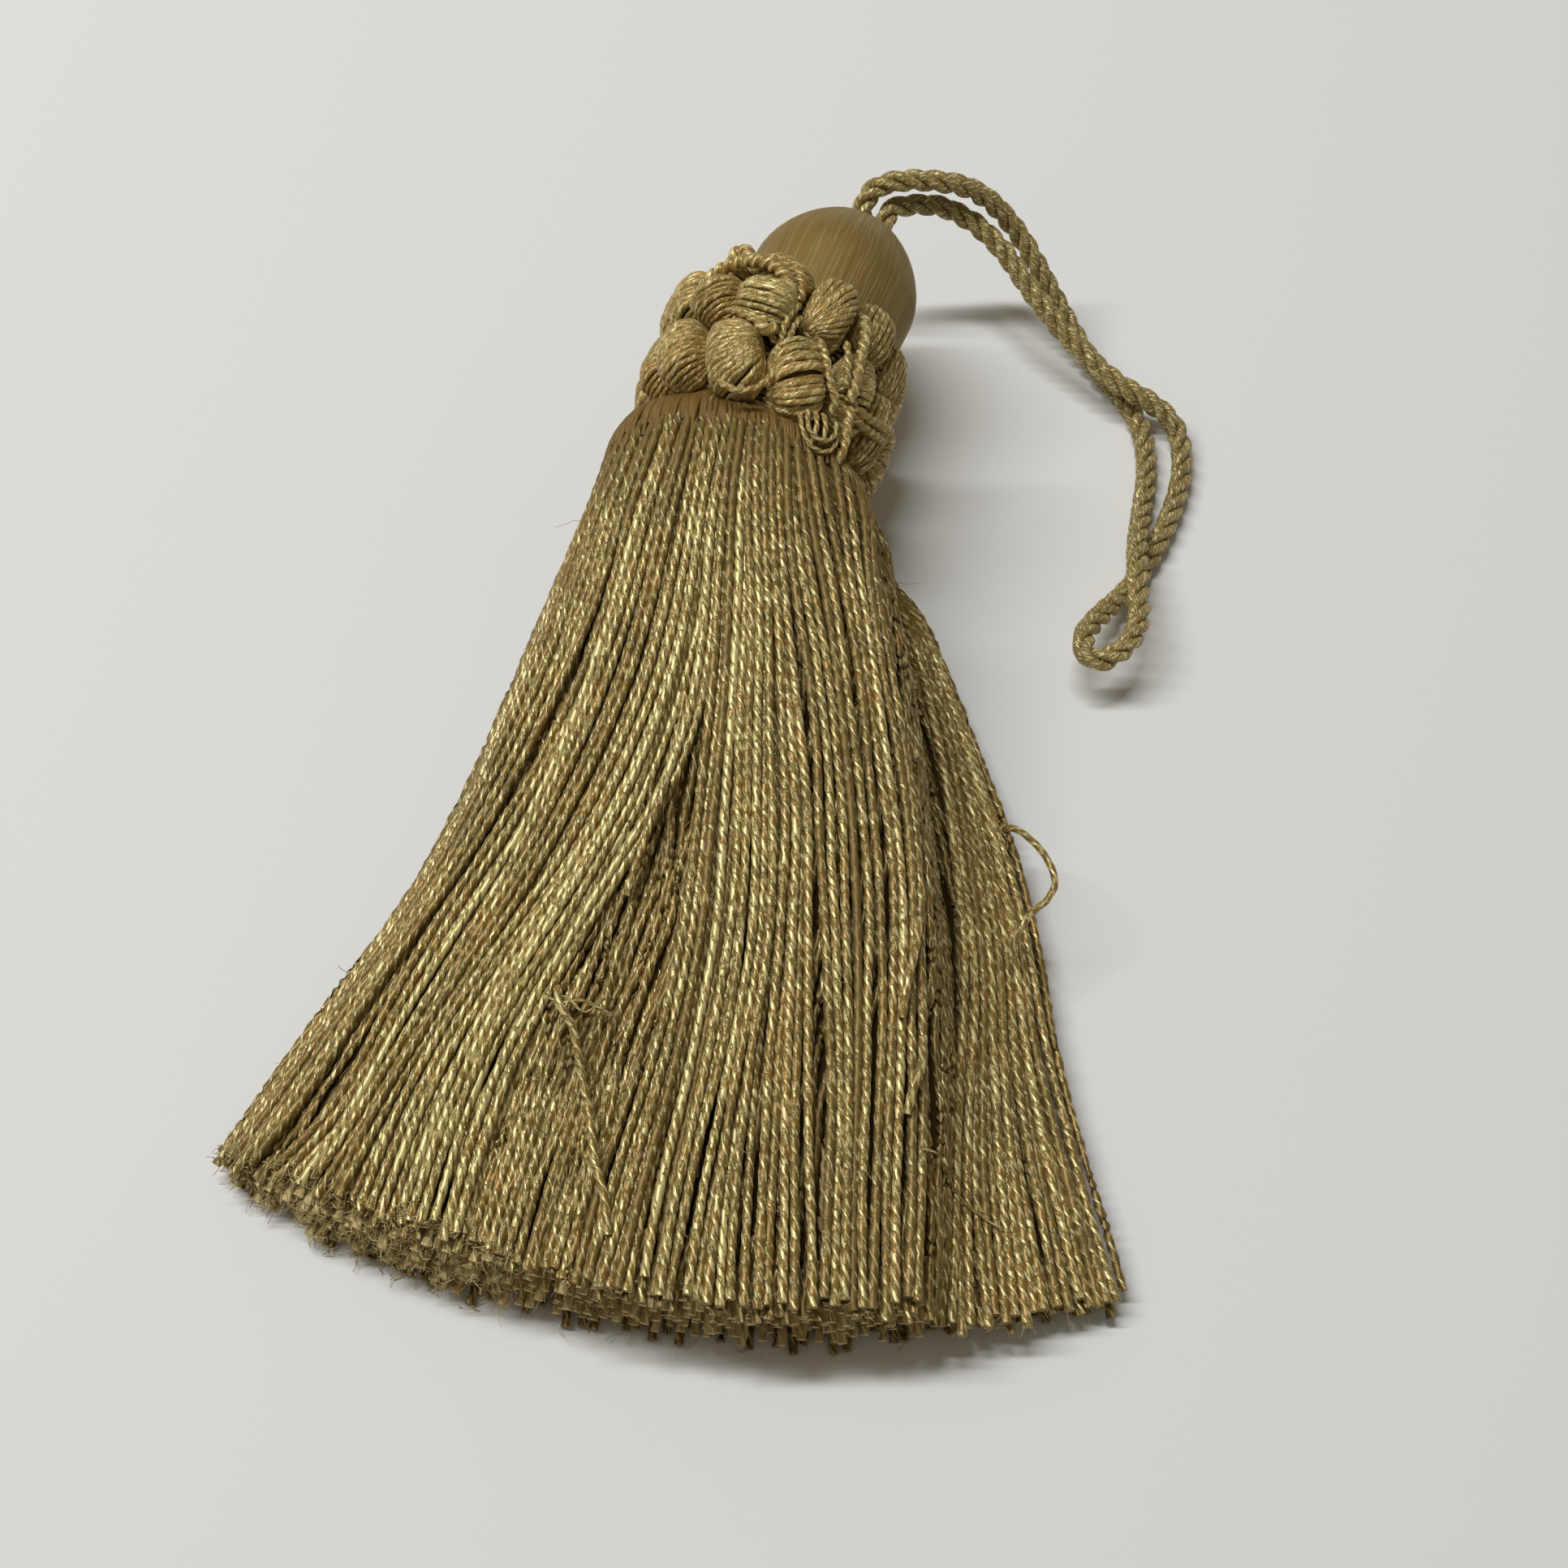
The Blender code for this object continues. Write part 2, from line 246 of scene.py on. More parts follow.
def around_head(along: np.ndarray, around: np.ndarray, out: np.ndarray) -> np.ndarray:
    """Points from their places along, around and out from the head's axis.

    Args:
        along: Distance along the axis, in millimetres.
        around: Angle round it from the top, in degrees.
        out: Distance from it, in millimetres.

    Returns:
        The points, in millimetres.
    """
    turned = np.array(head_frame())
    angle = np.radians(around)
    local = np.column_stack((-out * np.sin(angle), out * np.cos(angle), along))
    return local @ turned[:3, :3].T + turned[:3, 3] / MM


@dataclass(frozen=True)
class SilkFinish:
    """Reeled or rayon silk, dyed old gold: long smooth filaments that give vivid cream glints, partly real
    gloss and partly painted highlight, with painted shade between the plies.
    """

    name: str
    gold: str = "A08744"
    amber: str = "9A7634"
    brown: str = "765F2E"
    # painted shade: the colour of the grooves between the plies
    groove: str = "2E250F"
    # painted highlight: the colour of the cream glints on the filaments
    painted_glint: str = "FBF0B0"
    glint: str = "FFEBBC"
    roughness: float = 0.35
    dull: float = 0.58
    specular: float = 1.0
    sheen: float = 0.15
    metal: float = 0.18
    # filaments show as streaks: width across the ply and length along it, in millimetres
    streak_width: float = 0.3
    streak_length: float = 0.8
    streak_height: float = 0.14
    thread_radius: float = 0.4
    # painted highlight: how much the streaks, the tops of the plies and the thread's tone paint cream glints
    # on it
    streak_light: float = 0.62
    crest_light: float = 0.4
    tone_light: float = 0.05
    # painted shade: how much darker the grooves between the plies are painted
    depth: float = 0.35

    # dye takes unevenly over a few millimetres: size of the patches, contrast and level
    MOTTLE_SIZE = 6.0
    MOTTLE_CONTRAST = 1.4
    MOTTLE_LEVEL = -0.2
    MOTTLE_DETAIL = 3.0
    TONE_TO_DYE = 0.3
    # skeins differ: some threads are yellower, some more amber
    SKEIN_SPREAD = 0.9
    GOLD_TO_AMBER = (0.45, 1.3)
    # where the painted shade of the grooves gives way to the tops of the plies
    GROOVE_TO_CREST = (0.05, 0.75)
    # pressed and hidden yarn, whose tone is low, has lost its gloss
    DULL_TO_GLOSSY = (-3.5, 0.0)
    SHEEN_ROUGHNESS = 0.4
    # the noise's range that draws a streak and its painted glint, and how far it goes up with the painted
    # highlight on the crests
    STREAK_RANGE = (0.47, 0.62)
    STREAK_RISE = 0.65
    STREAK_DETAIL = 2.0
    STREAK_ROUGHNESS = 0.55
    SHIFT_SCALE = 7.0

    def material(self) -> bpy.types.Material:
        """Builds the material.

        Returns:
            A material that reads the attributes tone, crest, round and along of spun thread.
        """
        material = bpy.data.materials.new(self.name)
        material.use_nodes = True
        tree = material.node_tree
        shader = tree.nodes["Principled BSDF"]
        tone, crest, shift = (stored(tree, name) for name in ("tone", "crest", "shift"))
        place = add_node(tree, "ShaderNodeTexCoord").outputs["Object"]
        noise = {"Vector": place, "Scale": 1 / (self.MOTTLE_SIZE * MM), "Detail": self.MOTTLE_DETAIL}
        mottle = add_node(tree, "ShaderNodeTexNoise", noise).outputs["Fac"]
        uneven = maths(tree, "MULTIPLY_ADD", mottle, self.MOTTLE_CONTRAST, self.MOTTLE_LEVEL)
        toned = maths(tree, "MULTIPLY_ADD", tone, self.TONE_TO_DYE, uneven, clamp=True)
        chance = add_node(tree, "ShaderNodeTexWhiteNoise", {"W": shift}, noise_dimensions="1D")
        warm = maths(tree, "MULTIPLY_ADD", chance.outputs["Value"], self.SKEIN_SPREAD, uneven)
        yellow = ranged(tree, warm, self.GOLD_TO_AMBER)
        hue = blended(tree, yellow, linear(self.gold), linear(self.amber))
        dyed = blended(tree, toned, linear(self.brown), hue)
        streak = self._filaments(tree, shift, crest, tone)
        # painted highlight: cream glints where the streaks rise
        lift = maths(tree, "MULTIPLY", streak, self.streak_light)
        lit = blended(tree, lift, dyed, linear(self.painted_glint))
        # painted shade: darker in the grooves between the plies
        groove_shade = ranged(tree, crest, self.GROOVE_TO_CREST, (1 - self.depth, 1.0), smooth=True)
        shaded = blended(tree, groove_shade, linear(self.groove), lit)
        relief = {"Strength": 1.0, "Distance": self.streak_height * MM, "Height": streak}
        bump = add_node(tree, "ShaderNodeBump", relief).outputs[0]
        gloss = ranged(tree, tone, self.DULL_TO_GLOSSY, (self.dull, self.roughness))
        for name, socket in {"Base Color": shaded, "Normal": bump, "Roughness": gloss}.items():
            tree.links.new(socket, shader.inputs[name])
        values = {
            "Specular IOR Level": self.specular,
            "Specular Tint": linear(self.glint),
            "Metallic": self.metal,
            "Sheen Weight": self.sheen,
            "Sheen Roughness": self.SHEEN_ROUGHNESS,
            "Sheen Tint": linear(self.glint),
        }
        for name, value in values.items():
            shader.inputs[name].default_value = value
        return material

    def _filaments(
        self,
        tree: bpy.types.NodeTree,
        shift: bpy.types.NodeSocket,
        crest: bpy.types.NodeSocket,
        tone: bpy.types.NodeSocket,
    ) -> bpy.types.NodeSocket:
        """Adds the noise that draws filaments along a ply: both their bump and the mask of their painted
        glints.

        Args:
            tree: The material's tree.
            shift: The thread's own shift of the noise.
            crest: How near the top of a ply the surface is.
            tone: The thread's tone, which dulls dark threads.

        Returns:
            The noise, from 0 to 1.
        """
        around, along = stored(tree, "round", "Vector"), stored(tree, "along")
        scale = (self.thread_radius / self.streak_width,) * 3
        lay = add_node(tree, "ShaderNodeVectorMath", {0: around, 1: scale}, operation="MULTIPLY").outputs[0]
        reach = maths(tree, "MULTIPLY", along, 1 / (self.streak_length * MM))
        shifted = maths(tree, "MULTIPLY_ADD", shift, self.SHIFT_SCALE, reach)
        step = add_node(tree, "ShaderNodeCombineXYZ", {"Z": shifted}).outputs[0]
        thread = add_node(tree, "ShaderNodeVectorMath", {0: lay, 1: step}, operation="ADD").outputs[0]
        noise = {"Scale": 1.0, "Detail": self.STREAK_DETAIL, "Roughness": self.STREAK_ROUGHNESS}
        streak = add_node(tree, "ShaderNodeTexNoise", {"Vector": thread, **noise}).outputs["Fac"]
        # the tops of the plies get more of the painted glint
        raised = maths(tree, "MULTIPLY_ADD", crest, self.crest_light, streak)
        dulled = maths(tree, "MULTIPLY_ADD", tone, self.tone_light, raised)
        rise = self.STREAK_RISE * self.crest_light
        return ranged(tree, dulled, tuple(end + rise for end in self.STREAK_RANGE), smooth=True)


@dataclass(frozen=True)
class PaperFinish:
    """Matt white board with a faint grain, which gives soft, nearly neutral light grey."""

    name: str = "matt_board"
    colour: str = "E9EAE9"
    roughness: float = 0.6
    specular: float = 0.3
    grain_scale: float = 900.0
    grain_detail: float = 4.0
    grain_strength: float = 0.05
    grain_height: float = 0.05

    def material(self) -> bpy.types.Material:
        """Builds the material.

        Returns:
            The floor's material.
        """
        material = bpy.data.materials.new(self.name)
        material.use_nodes = True
        tree = material.node_tree
        shader = tree.nodes["Principled BSDF"]
        place = add_node(tree, "ShaderNodeTexCoord").outputs["Object"]
        noise = {"Vector": place, "Scale": self.grain_scale, "Detail": self.grain_detail}
        grain = add_node(tree, "ShaderNodeTexNoise", noise).outputs["Fac"]
        relief = {"Strength": self.grain_strength, "Distance": self.grain_height * MM, "Height": grain}
        bump = add_node(tree, "ShaderNodeBump", relief).outputs[0]
        tree.links.new(bump, shader.inputs["Normal"])
        shader.inputs["Base Color"].default_value = linear(self.colour)
        shader.inputs["Roughness"].default_value = self.roughness
        shader.inputs["Specular IOR Level"].default_value = self.specular
        return material


@dataclass
class Thread:
    """One thread's path, in millimetres, with its own thickness, turn and tone."""

    points: np.ndarray
    thick: np.ndarray | float = 1.0
    turn: np.ndarray | float = 0.0
    tone: np.ndarray | float = 0.0


@dataclass(frozen=True)
class Spin:
    """How a thread is plied: sizes in millimetres, pitch negative for S twist."""

    radius: float
    plies: int
    pitch: float
    sides: int
    step: float
    waist: float = 0.5


class Spinner:
    """Spins thread paths into plied yarn with one Geometry Nodes tree."""

    SIZES = (
        ("Radius", "NodeSocketFloat"),
        ("Plies", "NodeSocketFloat"),
        ("Turns per metre", "NodeSocketFloat"),
        ("Sides", "NodeSocketInt"),
        ("Step", "NodeSocketFloat"),
        ("Waist", "NodeSocketFloat"),
        ("Finish", "NodeSocketMaterial"),
    )

    def __init__(self) -> None:
        """Builds the tree once."""
        self.tree = bpy.data.node_groups.new("spin_yarn", "GeometryNodeTree")
        self.sockets = {}
        face = self.tree.interface
        face.new_socket("Geometry", in_out="INPUT", socket_type="NodeSocketGeometry")
        face.new_socket("Geometry", in_out="OUTPUT", socket_type="NodeSocketGeometry")
        for name, kind in self.SIZES:
            self.sockets[name] = face.new_socket(name, in_out="INPUT", socket_type=kind).identifier
        self._lay_nodes()

    def _attribute(self, name: str) -> bpy.types.NodeSocket:
        """A number stored on the paths' points, by its name."""
        node = add_node(self.tree, "GeometryNodeInputNamedAttribute", {"Name": name}, data_type="FLOAT")
        return node.outputs["Attribute"]

    def _store(
        self, geometry: bpy.types.NodeSocket, name: str, value: bpy.types.NodeSocket, kind: str
    ) -> bpy.types.NodeSocket:
        """Stores a value on the points of a geometry, and gives the geometry back."""
        inputs = {"Geometry": geometry, "Name": name, "Value": value}
        return add_node(self.tree, "GeometryNodeStoreNamedAttribute", inputs, data_type=kind).outputs[0]

    def _section(self, given: bpy.types.bpy_prop_collection) -> bpy.types.NodeSocket:
        """Links the lobed section of a yarn, with a crest for each ply.

        Args:
            given: The tree's own inputs.

        Returns:
            The section's curve.
        """
        tree = self.tree
        circle = {"Resolution": given["Sides"], "Radius": 1.0}
        ring = add_node(tree, "GeometryNodeCurvePrimitiveCircle", circle).outputs[0]
        place = add_node(tree, "GeometryNodeInputPosition").outputs[0]
        parts = add_node(tree, "ShaderNodeSeparateXYZ", {0: place}).outputs
        angle = maths(tree, "ARCTAN2", parts["Y"], parts["X"])
        half = maths(tree, "MULTIPLY", given["Plies"], 0.5)
        wave = maths(tree, "COSINE", maths(tree, "MULTIPLY", angle, half))
        crest = maths(tree, "ABSOLUTE", wave)
        outline = ranged(tree, crest, (0.0, 1.0), (given["Waist"], 1.0))
        size = maths(tree, "MULTIPLY", outline, given["Radius"])
        marked = self._store(ring, "crest", crest, "FLOAT")
        rounded = self._store(marked, "round", place, "FLOAT_VECTOR")
        scale = {0: place, "Scale": size}
        scaled = add_node(tree, "ShaderNodeVectorMath", scale, operation="SCALE").outputs[0]
        moved = {"Geometry": rounded, "Position": scaled}
        return add_node(tree, "GeometryNodeSetPosition", moved).outputs[0]

    def _lay_nodes(self) -> None:
        """Links the tree: paths to curves, twist as tilt, and the section swept along them."""
        tree = self.tree
        given = add_node(tree, "NodeGroupInput").outputs
        curve = add_node(tree, "GeometryNodeMeshToCurve", {"Mesh": given["Geometry"]}).outputs[0]
        smooth = {"Curve": curve}
        curve = add_node(tree, "GeometryNodeCurveSplineType", smooth, spline_type="CATMULL_ROM").outputs[0]
        even = {"Curve": curve, "Length": given["Step"]}
        curve = add_node(tree, "GeometryNodeResampleCurve", even, mode="LENGTH").outputs[0]
        turns = maths(tree, "MULTIPLY", self._attribute("along"), given["Turns per metre"])
        tilt = maths(tree, "MULTIPLY_ADD", turns, math.tau, self._attribute("turn"))
        twisted = add_node(tree, "GeometryNodeSetCurveTilt", {"Curve": curve, "Tilt": tilt}).outputs[0]
        sweep = {
            "Curve": twisted,
            "Profile Curve": self._section(given),
            "Scale": self._attribute("thick"),
            "Fill Caps": True,
        }
        swept = add_node(tree, "GeometryNodeCurveToMesh", sweep).outputs[0]
        soft = add_node(tree, "GeometryNodeSetShadeSmooth", {"Geometry": swept}).outputs[0]
        real = add_node(tree, "GeometryNodeRealizeInstances", {"Geometry": soft}).outputs[0]
        dress = {"Geometry": real, "Material": given["Finish"]}
        dressed = add_node(tree, "GeometryNodeSetMaterial", dress).outputs[0]
        add_node(tree, "NodeGroupOutput", {0: dressed})

    @staticmethod
    def _paths(name: str, threads: list[Thread]) -> bpy.types.Object:
        """Lays the paths as chains of edges that carry each thread's numbers.

        Args:
            name: The piece's name.
            threads: The paths.

        Returns:
            The object, linked to the scene.
        """
        counts = [len(thread.points) for thread in threads]
        points = np.concatenate([thread.points for thread in threads]) * MM
        starts = np.cumsum([0, *counts[:-1]])
        edges = np.concatenate(
            [np.column_stack((np.arange(c - 1), np.arange(1, c))) + s for s, c in zip(starts, counts)]
        )
        lengths = [run_along(thread.points) * MM for thread in threads]
        shifts = [float(np.ravel(thread.turn)[0]) for thread in threads]
        numbers = {"along": np.concatenate(lengths), "shift": np.repeat(shifts, counts)}
        for label in ("thick", "turn", "tone"):
            values = [getattr(thread, label) for thread in threads]
            numbers[label] = np.concatenate([np.broadcast_to(v, (c,)) for v, c in zip(values, counts)])
        mesh = bpy.data.meshes.new(name)
        mesh.vertices.add(len(points))
        mesh.vertices.foreach_set("co", points.astype(np.float32).ravel())
        mesh.edges.add(len(edges))
        mesh.edges.foreach_set("vertices", edges.astype(np.int32).ravel())
        store_numbers(mesh, numbers)
        mesh.update()
        return linked(name, mesh)

    def spin(
        self, name: str, threads: list[Thread], spin: Spin, finish: bpy.types.Material
    ) -> bpy.types.Object:
        """Makes one plain mesh of plied yarn.

        Args:
            name: The piece's name.
            threads: The paths.
            spin: How they are plied.
            finish: The piece's material.

        Returns:
            The finished piece, at the origin.
        """
        piece = self._paths(name, threads)
        modifier = piece.modifiers.new("spin", "NODES")
        modifier.node_group = self.tree
        sizes = {
            "Radius": spin.radius * MM,
            "Plies": float(spin.plies),
            "Turns per metre": 1.0 / (spin.pitch * MM),
            "Sides": spin.sides,
            "Step": spin.step * MM,
            "Waist": spin.waist,
            "Finish": finish,
        }
        for label, value in sizes.items():
            modifier[self.sockets[label]] = value
        graph = bpy.context.evaluated_depsgraph_get()
        mesh = bpy.data.meshes.new_from_object(piece.evaluated_get(graph))
        mesh.name = name
        piece.modifiers.clear()
        old = piece.data
        piece.data = mesh
        bpy.data.meshes.remove(old)
        return piece


def report(piece: bpy.types.Object) -> None:
    """Reports a finished piece's name and triangles."""
    triangles = sum(len(face.vertices) - 2 for face in piece.data.polygons)
    LOG.info("%s: %d triangles", piece.name, triangles)


def lofted(name: str, rings: np.ndarray, finish: bpy.types.Material) -> bpy.types.Object:
    """Makes a closed skin over rings of points, with flat ends.

    Args:
        name: The piece's name.
        rings: Points by ring and place round it, in millimetres.
        finish: The piece's material.

    Returns:
        The piece, linked to the scene.
    """
    builder = bmesh.new()
    rows = [[builder.verts.new(Vector(point) * MM) for point in ring] for ring in rings]
    count = len(rows[0])
    for row, following in zip(rows, rows[1:]):
        for at in range(count):
            after = (at + 1) % count
            builder.faces.new((row[at], row[after], following[after], following[at]))
    for row in (rows[0], rows[-1]):
        for at in range(count // 2 - 1):
            builder.faces.new((row[at], row[at + 1], row[-at - 2], row[-at - 1]))
    bmesh.ops.recalc_face_normals(builder, faces=builder.faces)
    mesh = bpy.data.meshes.new(name)
    builder.to_mesh(mesh)
    builder.free()
    mesh.materials.append(finish)
    return linked(name, mesh)


def smooth_route(points: np.ndarray, count: int) -> np.ndarray:
    """Evenly spaced points on the smooth curve through a route's own points.

    Args:
        points: The route.
        count: How many points to give back.

    Returns:
        The points.
    """
    padded = np.vstack((points[:1], points, points[-1:]))
    share = np.linspace(0, 1, 12, endpoint=False)[:, None]
    fine = [
        0.5
        * (
            2 * b
            + (c - a) * share
            + (2 * a - 5 * b + 4 * c - d) * share**2
            + (3 * b - a - 3 * c + d) * share**3
        )
        for a, b, c, d in zip(padded, padded[1:], padded[2:], padded[3:])
    ]
    line = np.vstack((*fine, points[-1:]))
    lengths = run_along(line)
    return read_line(line, np.linspace(0, lengths[-1], count), lengths)


@dataclass
class LoopCord:
    """Three-ply Z-twist cord out of the head's tip, round a small eye and back to the tip."""

    diameter: float = 2.1
    length: float = 143.4
    pitch: float = 5.85
    plies: int = 3
    tone: float = 0.35
    # each ply is itself spun of three finer threads
    ply_spin: Spin = Spin(0.49, 3, -2.6, 10, 0.36, waist=0.9)
    points: int = 400
    # the middle line, from the head's tip and back to it
    route: tuple = (
        (16.46, 51.52, 13.4), (16.73, 52.93, 14.2), (17.99, 53.94, 15.14), (20.82, 54.11, 15.81),
        (25.39, 54.38, 14.93), (28.5, 54.51, 12.67), (31.2, 53.58, 9.66), (33.09, 51.63, 7.47),
        (35.01, 49.38, 4.99), (37.29, 46.45, 2.44), (39.32, 43.56, 1.22), (41.91, 39.27, 1.08),
        (42.89, 35.76, 1.1), (42.88, 31.65, 1.09), (42.12, 27.32, 1.36), (41.08, 21.93, 2.94),
        (40.64, 16.85, 3.8), (40.31, 12.98, 4.38), (39.13, 10.31, 4.74), (36.99, 8.61, 4.9),
        (35.58, 9.05, 4.87), (35.38, 11.14, 4.42), (36.75, 13.79, 3.4), (39.56, 17.54, 1.65),
        (41.56, 20.52, 1.06), (43.89, 24.91, 1.08), (45.84, 30.22, 1.1), (46.33, 34.25, 1.19),
        (45.66, 36.78, 1.84), (43.75, 38.37, 2.88), (39.98, 40.17, 4.25), (36.04, 43.91, 5.61),
        (32.68, 47.47, 7.75), (30.6, 50.45, 8.96), (28.94, 52.25, 9.88), (26.62, 53.57, 11.19),
        (23.45, 54.02, 12.6), (19.75, 53.43, 13.0), (18.62, 51.89, 12.92), (18.63, 51.4, 12.2),
    )

    def _plies(self, line: np.ndarray) -> list[Thread]:
        """Lays the plies round the cord's middle line.

        Args:
            line: The middle line.

        Returns:
            One thread for each ply.
        """
        ahead = np.gradient(line, axis=0)
        ahead /= np.linalg.norm(ahead, axis=1, keepdims=True)
        side = np.cross(ahead[0], (0.0, 0.0, 1.0))
        sides = []
        for direction in ahead:
            side = unit(side - direction * side.dot(direction))
            sides.append(side)
        sides = np.array(sides)
        ups = np.cross(ahead, sides)
        turn = run_along(line) / self.pitch * math.tau
        plies = []
        for number in range(self.plies):
            angle = (turn + number * math.tau / self.plies)[:, None]
            around = np.cos(angle) * sides + np.sin(angle) * ups
            path = line + around * (self.diameter / 2 - self.ply_spin.radius)
            plies.append(Thread(path, turn=float(number), tone=self.tone))
        return plies

    def build(self, spinner: Spinner, finish: bpy.types.Material) -> bpy.types.Object:
        """Args:
            spinner: The yarn spinner.
            finish: The cord's material.

        Returns:
            The cord.
        """
        line = smooth_route(np.array(self.route), self.points)
        piece = spinner.spin("plied_loop_cord", self._plies(line), self.ply_spin, finish)
        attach(piece, BODY)
        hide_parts("loop_cord")
        report(piece)
        return piece


class SkirtShape:
    """The skirt's sections at a set of stations, from the neck to the cut end."""

    COLUMNS = (
        "left_x",
        "left_y",
        "right_x",
        "right_y",
        "bow",
        "crown",
        "left_rim",
        "right_rim",
        "sheaf_edge",
        "sheaf_rim",
        "layer",
        "underside",
        "roundness",
    )
    SECTIONS = (
        (0.0, -3.9, 26.55, 15.8, 18.55, 0.0, 21.9, 12.0, 12.0, 0.96, 13.0, 12.5, 2.0, 2.0),
        (0.03, -4.6, 25.05, 16.8, 17.85, 0.0, 23.0, 11.9, 11.6, 0.95, 13.2, 11.8, 0.9, 2.0),
        (0.1, -6.2, 20.25, 17.9, 15.05, 0.2, 22.8, 11.3, 8.0, 0.9, 14.6, 9.0, 0.0, 2.2),
        (0.2, -9.1, 14.05, 20.0, 11.35, 0.8, 21.6, 10.0, 3.6, 0.79, 14.4, 6.0, 0.0, 2.6),
        (0.35, -13.3, 4.05, 23.6, 2.25, 1.9, 19.0, 8.3, 2.4, 0.745, 13.0, 5.2, 0.0, 3.2),
        (0.5, -18.3, -6.75, 27.0, -7.75, 3.3, 16.5, 6.8, 2.2, 0.69, 12.0, 5.0, 0.0, 4.0),
        (0.65, -22.7, -16.05, 29.6, -17.55, 4.9, 14.4, 5.6, 2.0, 0.675, 11.0, 5.0, 0.0, 5.0),
        (0.8, -27.6, -25.15, 31.6, -27.75, 6.5, 12.6, 4.2, 1.9, 0.665, 10.0, 5.0, 0.0, 6.0),
        (0.92, -32.2, -31.95, 33.7, -38.15, 7.9, 11.2, 3.0, 1.6, 0.63, 9.2, 4.9, 0.0, 6.0),
        (1.0, -35.3, -36.25, 35.3, -45.75, 8.8, 10.4, 2.0, 1.4, 0.59, 8.7, 4.8, 0.0, 6.0),
    )
    # how far the yarn stands to the right of the solid body's rims: reach, left rim, right rim
    SWELL = (
        (0.0, -0.5, 0.0),
        (0.03, -1.3, 0.0),
        (0.1, -1.2, 0.3),
        (0.15, -0.9, 1.9),
        (0.2, -0.6, 2.3),
        (0.35, 0.0, 1.7),
        (0.5, 1.0, 1.2),
        (0.65, 0.9, 0.5),
        (0.8, -0.1, -0.5),
        (1.0, 0.2, -0.4),
    )
    # where across the top that swell begins, at the left and at the right
    SWELL_FROM = (0.3, 0.55)
    CREST = 0.12
    # how the top falls from its crest: powers at the left and over the sheaf
    LEFT_POWER = 2.4
    SHEAF_POWER = 2.2
    SHEAF_STEP = 0.05
    CUT_SLANT = 1.2
    # where across the top the steep rims begin and are whole
    RIM = (0.84, 0.94)
    GRID = 401

    def __init__(self, stations: int) -> None:
        """Reads the sections at even stations.

        Args:
            stations: How many there are.
        """
        table = np.array(self.SECTIONS)
        self.reach = np.linspace(0.0, 1.0, stations)
        rows = hermite_rows(table[:, 0], table[:, 1:], self.reach)
        self.column = {name: rows[:, [i]] for i, name in enumerate(self.COLUMNS)}
        self.across = np.linspace(-1.0, 1.0, self.GRID)
        col = self.column
        self.chord = np.hstack((col["right_x"] - col["left_x"], col["right_y"] - col["left_y"]))
        self.width = np.linalg.norm(self.chord, axis=1, keepdims=True)
        self.forward = np.column_stack((self.chord[:, 1], -self.chord[:, 0])) / self.width
        slope = 2.0 * col["bow"] * self.across / (self.width / 2)
        spread = np.sqrt(1.0 + slope**2)
        step = self.across[1] - self.across[0]
        run = np.cumsum(spread, axis=1) * step * self.width / 2
        swell = np.array(self.SWELL)
        rims = hermite_rows(swell[:, 0], swell[:, 1:], self.reach)
        at_left, at_right = (
            np.clip((side * self.across - start) / (1 - start), 0, 1)
            for side, start in zip((-1, 1), self.SWELL_FROM)
        )
        self.swell = rims[:, :1] * at_left + rims[:, 1:] * at_right
        self.run = run - run[:, [self.GRID // 2]] + self.swell
        self.top = self._top()
        self.bottom = self._bottom()
        self.skin = self.over(self.top)

    def over(self, heights: np.ndarray) -> np.ndarray:
        """Distance across each station along the top or the underside."""
        rise = np.diff(heights, axis=1, prepend=heights[:, :1])
        flat = np.diff(self.run, axis=1, prepend=self.run[:, :1])
        return np.cumsum(np.hypot(rise, flat), axis=1)

    def _top(self) -> np.ndarray:
        """Height of the skirt's top over its grid."""
        col, across = self.column, self.across
        edge = col["sheaf_edge"]
        left = np.clip((self.CREST - across) / (self.CREST + 1.0), 0, 1)
        right = np.clip((across - self.CREST) / (edge - self.CREST), 0, 1)
        out = np.clip((across - edge) / (1.0 - edge), 0, 1)
        low, sheaf, layer = (
            col[rim] + (col[high] - col[rim]) * np.sqrt(np.maximum(0, 1 - share**power))
            for rim, high, share, power in (
                ("left_rim", "crown", left, self.LEFT_POWER),
                ("sheaf_rim", "crown", right, self.SHEAF_POWER),
                ("right_rim", "layer", out, 2),
            )
        )
        drop = np.clip(1.0 - (across - edge) / self.SHEAF_STEP, 0, 1)
        outer = layer + (col["sheaf_rim"] - layer) * drop
        return np.where(across <= self.CREST, low, np.where(across <= edge, sheaf, outer))

    def _bottom(self) -> np.ndarray:
        """Height of the skirt's underside over its grid."""
        col, across = self.column, self.across
        rim = np.where(across < 0, col["left_rim"], col["right_rim"])
        power = col["roundness"]
        inside = np.maximum(0, 1 - np.abs(across) ** power) ** (1 / power)
        return np.maximum(0, rim - (rim - col["underside"]) * inside)

    def read(self, grid: np.ndarray, across: np.ndarray) -> np.ndarray:
        """Reads a grid at places across each station.

        Args:
            grid: One row for each station.
            across: Places, one row for each station.

        Returns:
            The values at those places.
        """
        at = (np.clip(across, -1, 1) + 1) / 2 * (self.GRID - 1)
        low = np.minimum(at.astype(int), self.GRID - 2)
        share = at - low
        rows = np.arange(len(grid))[:, None]
        return grid[rows, low] * (1 - share) + grid[rows, low + 1] * share

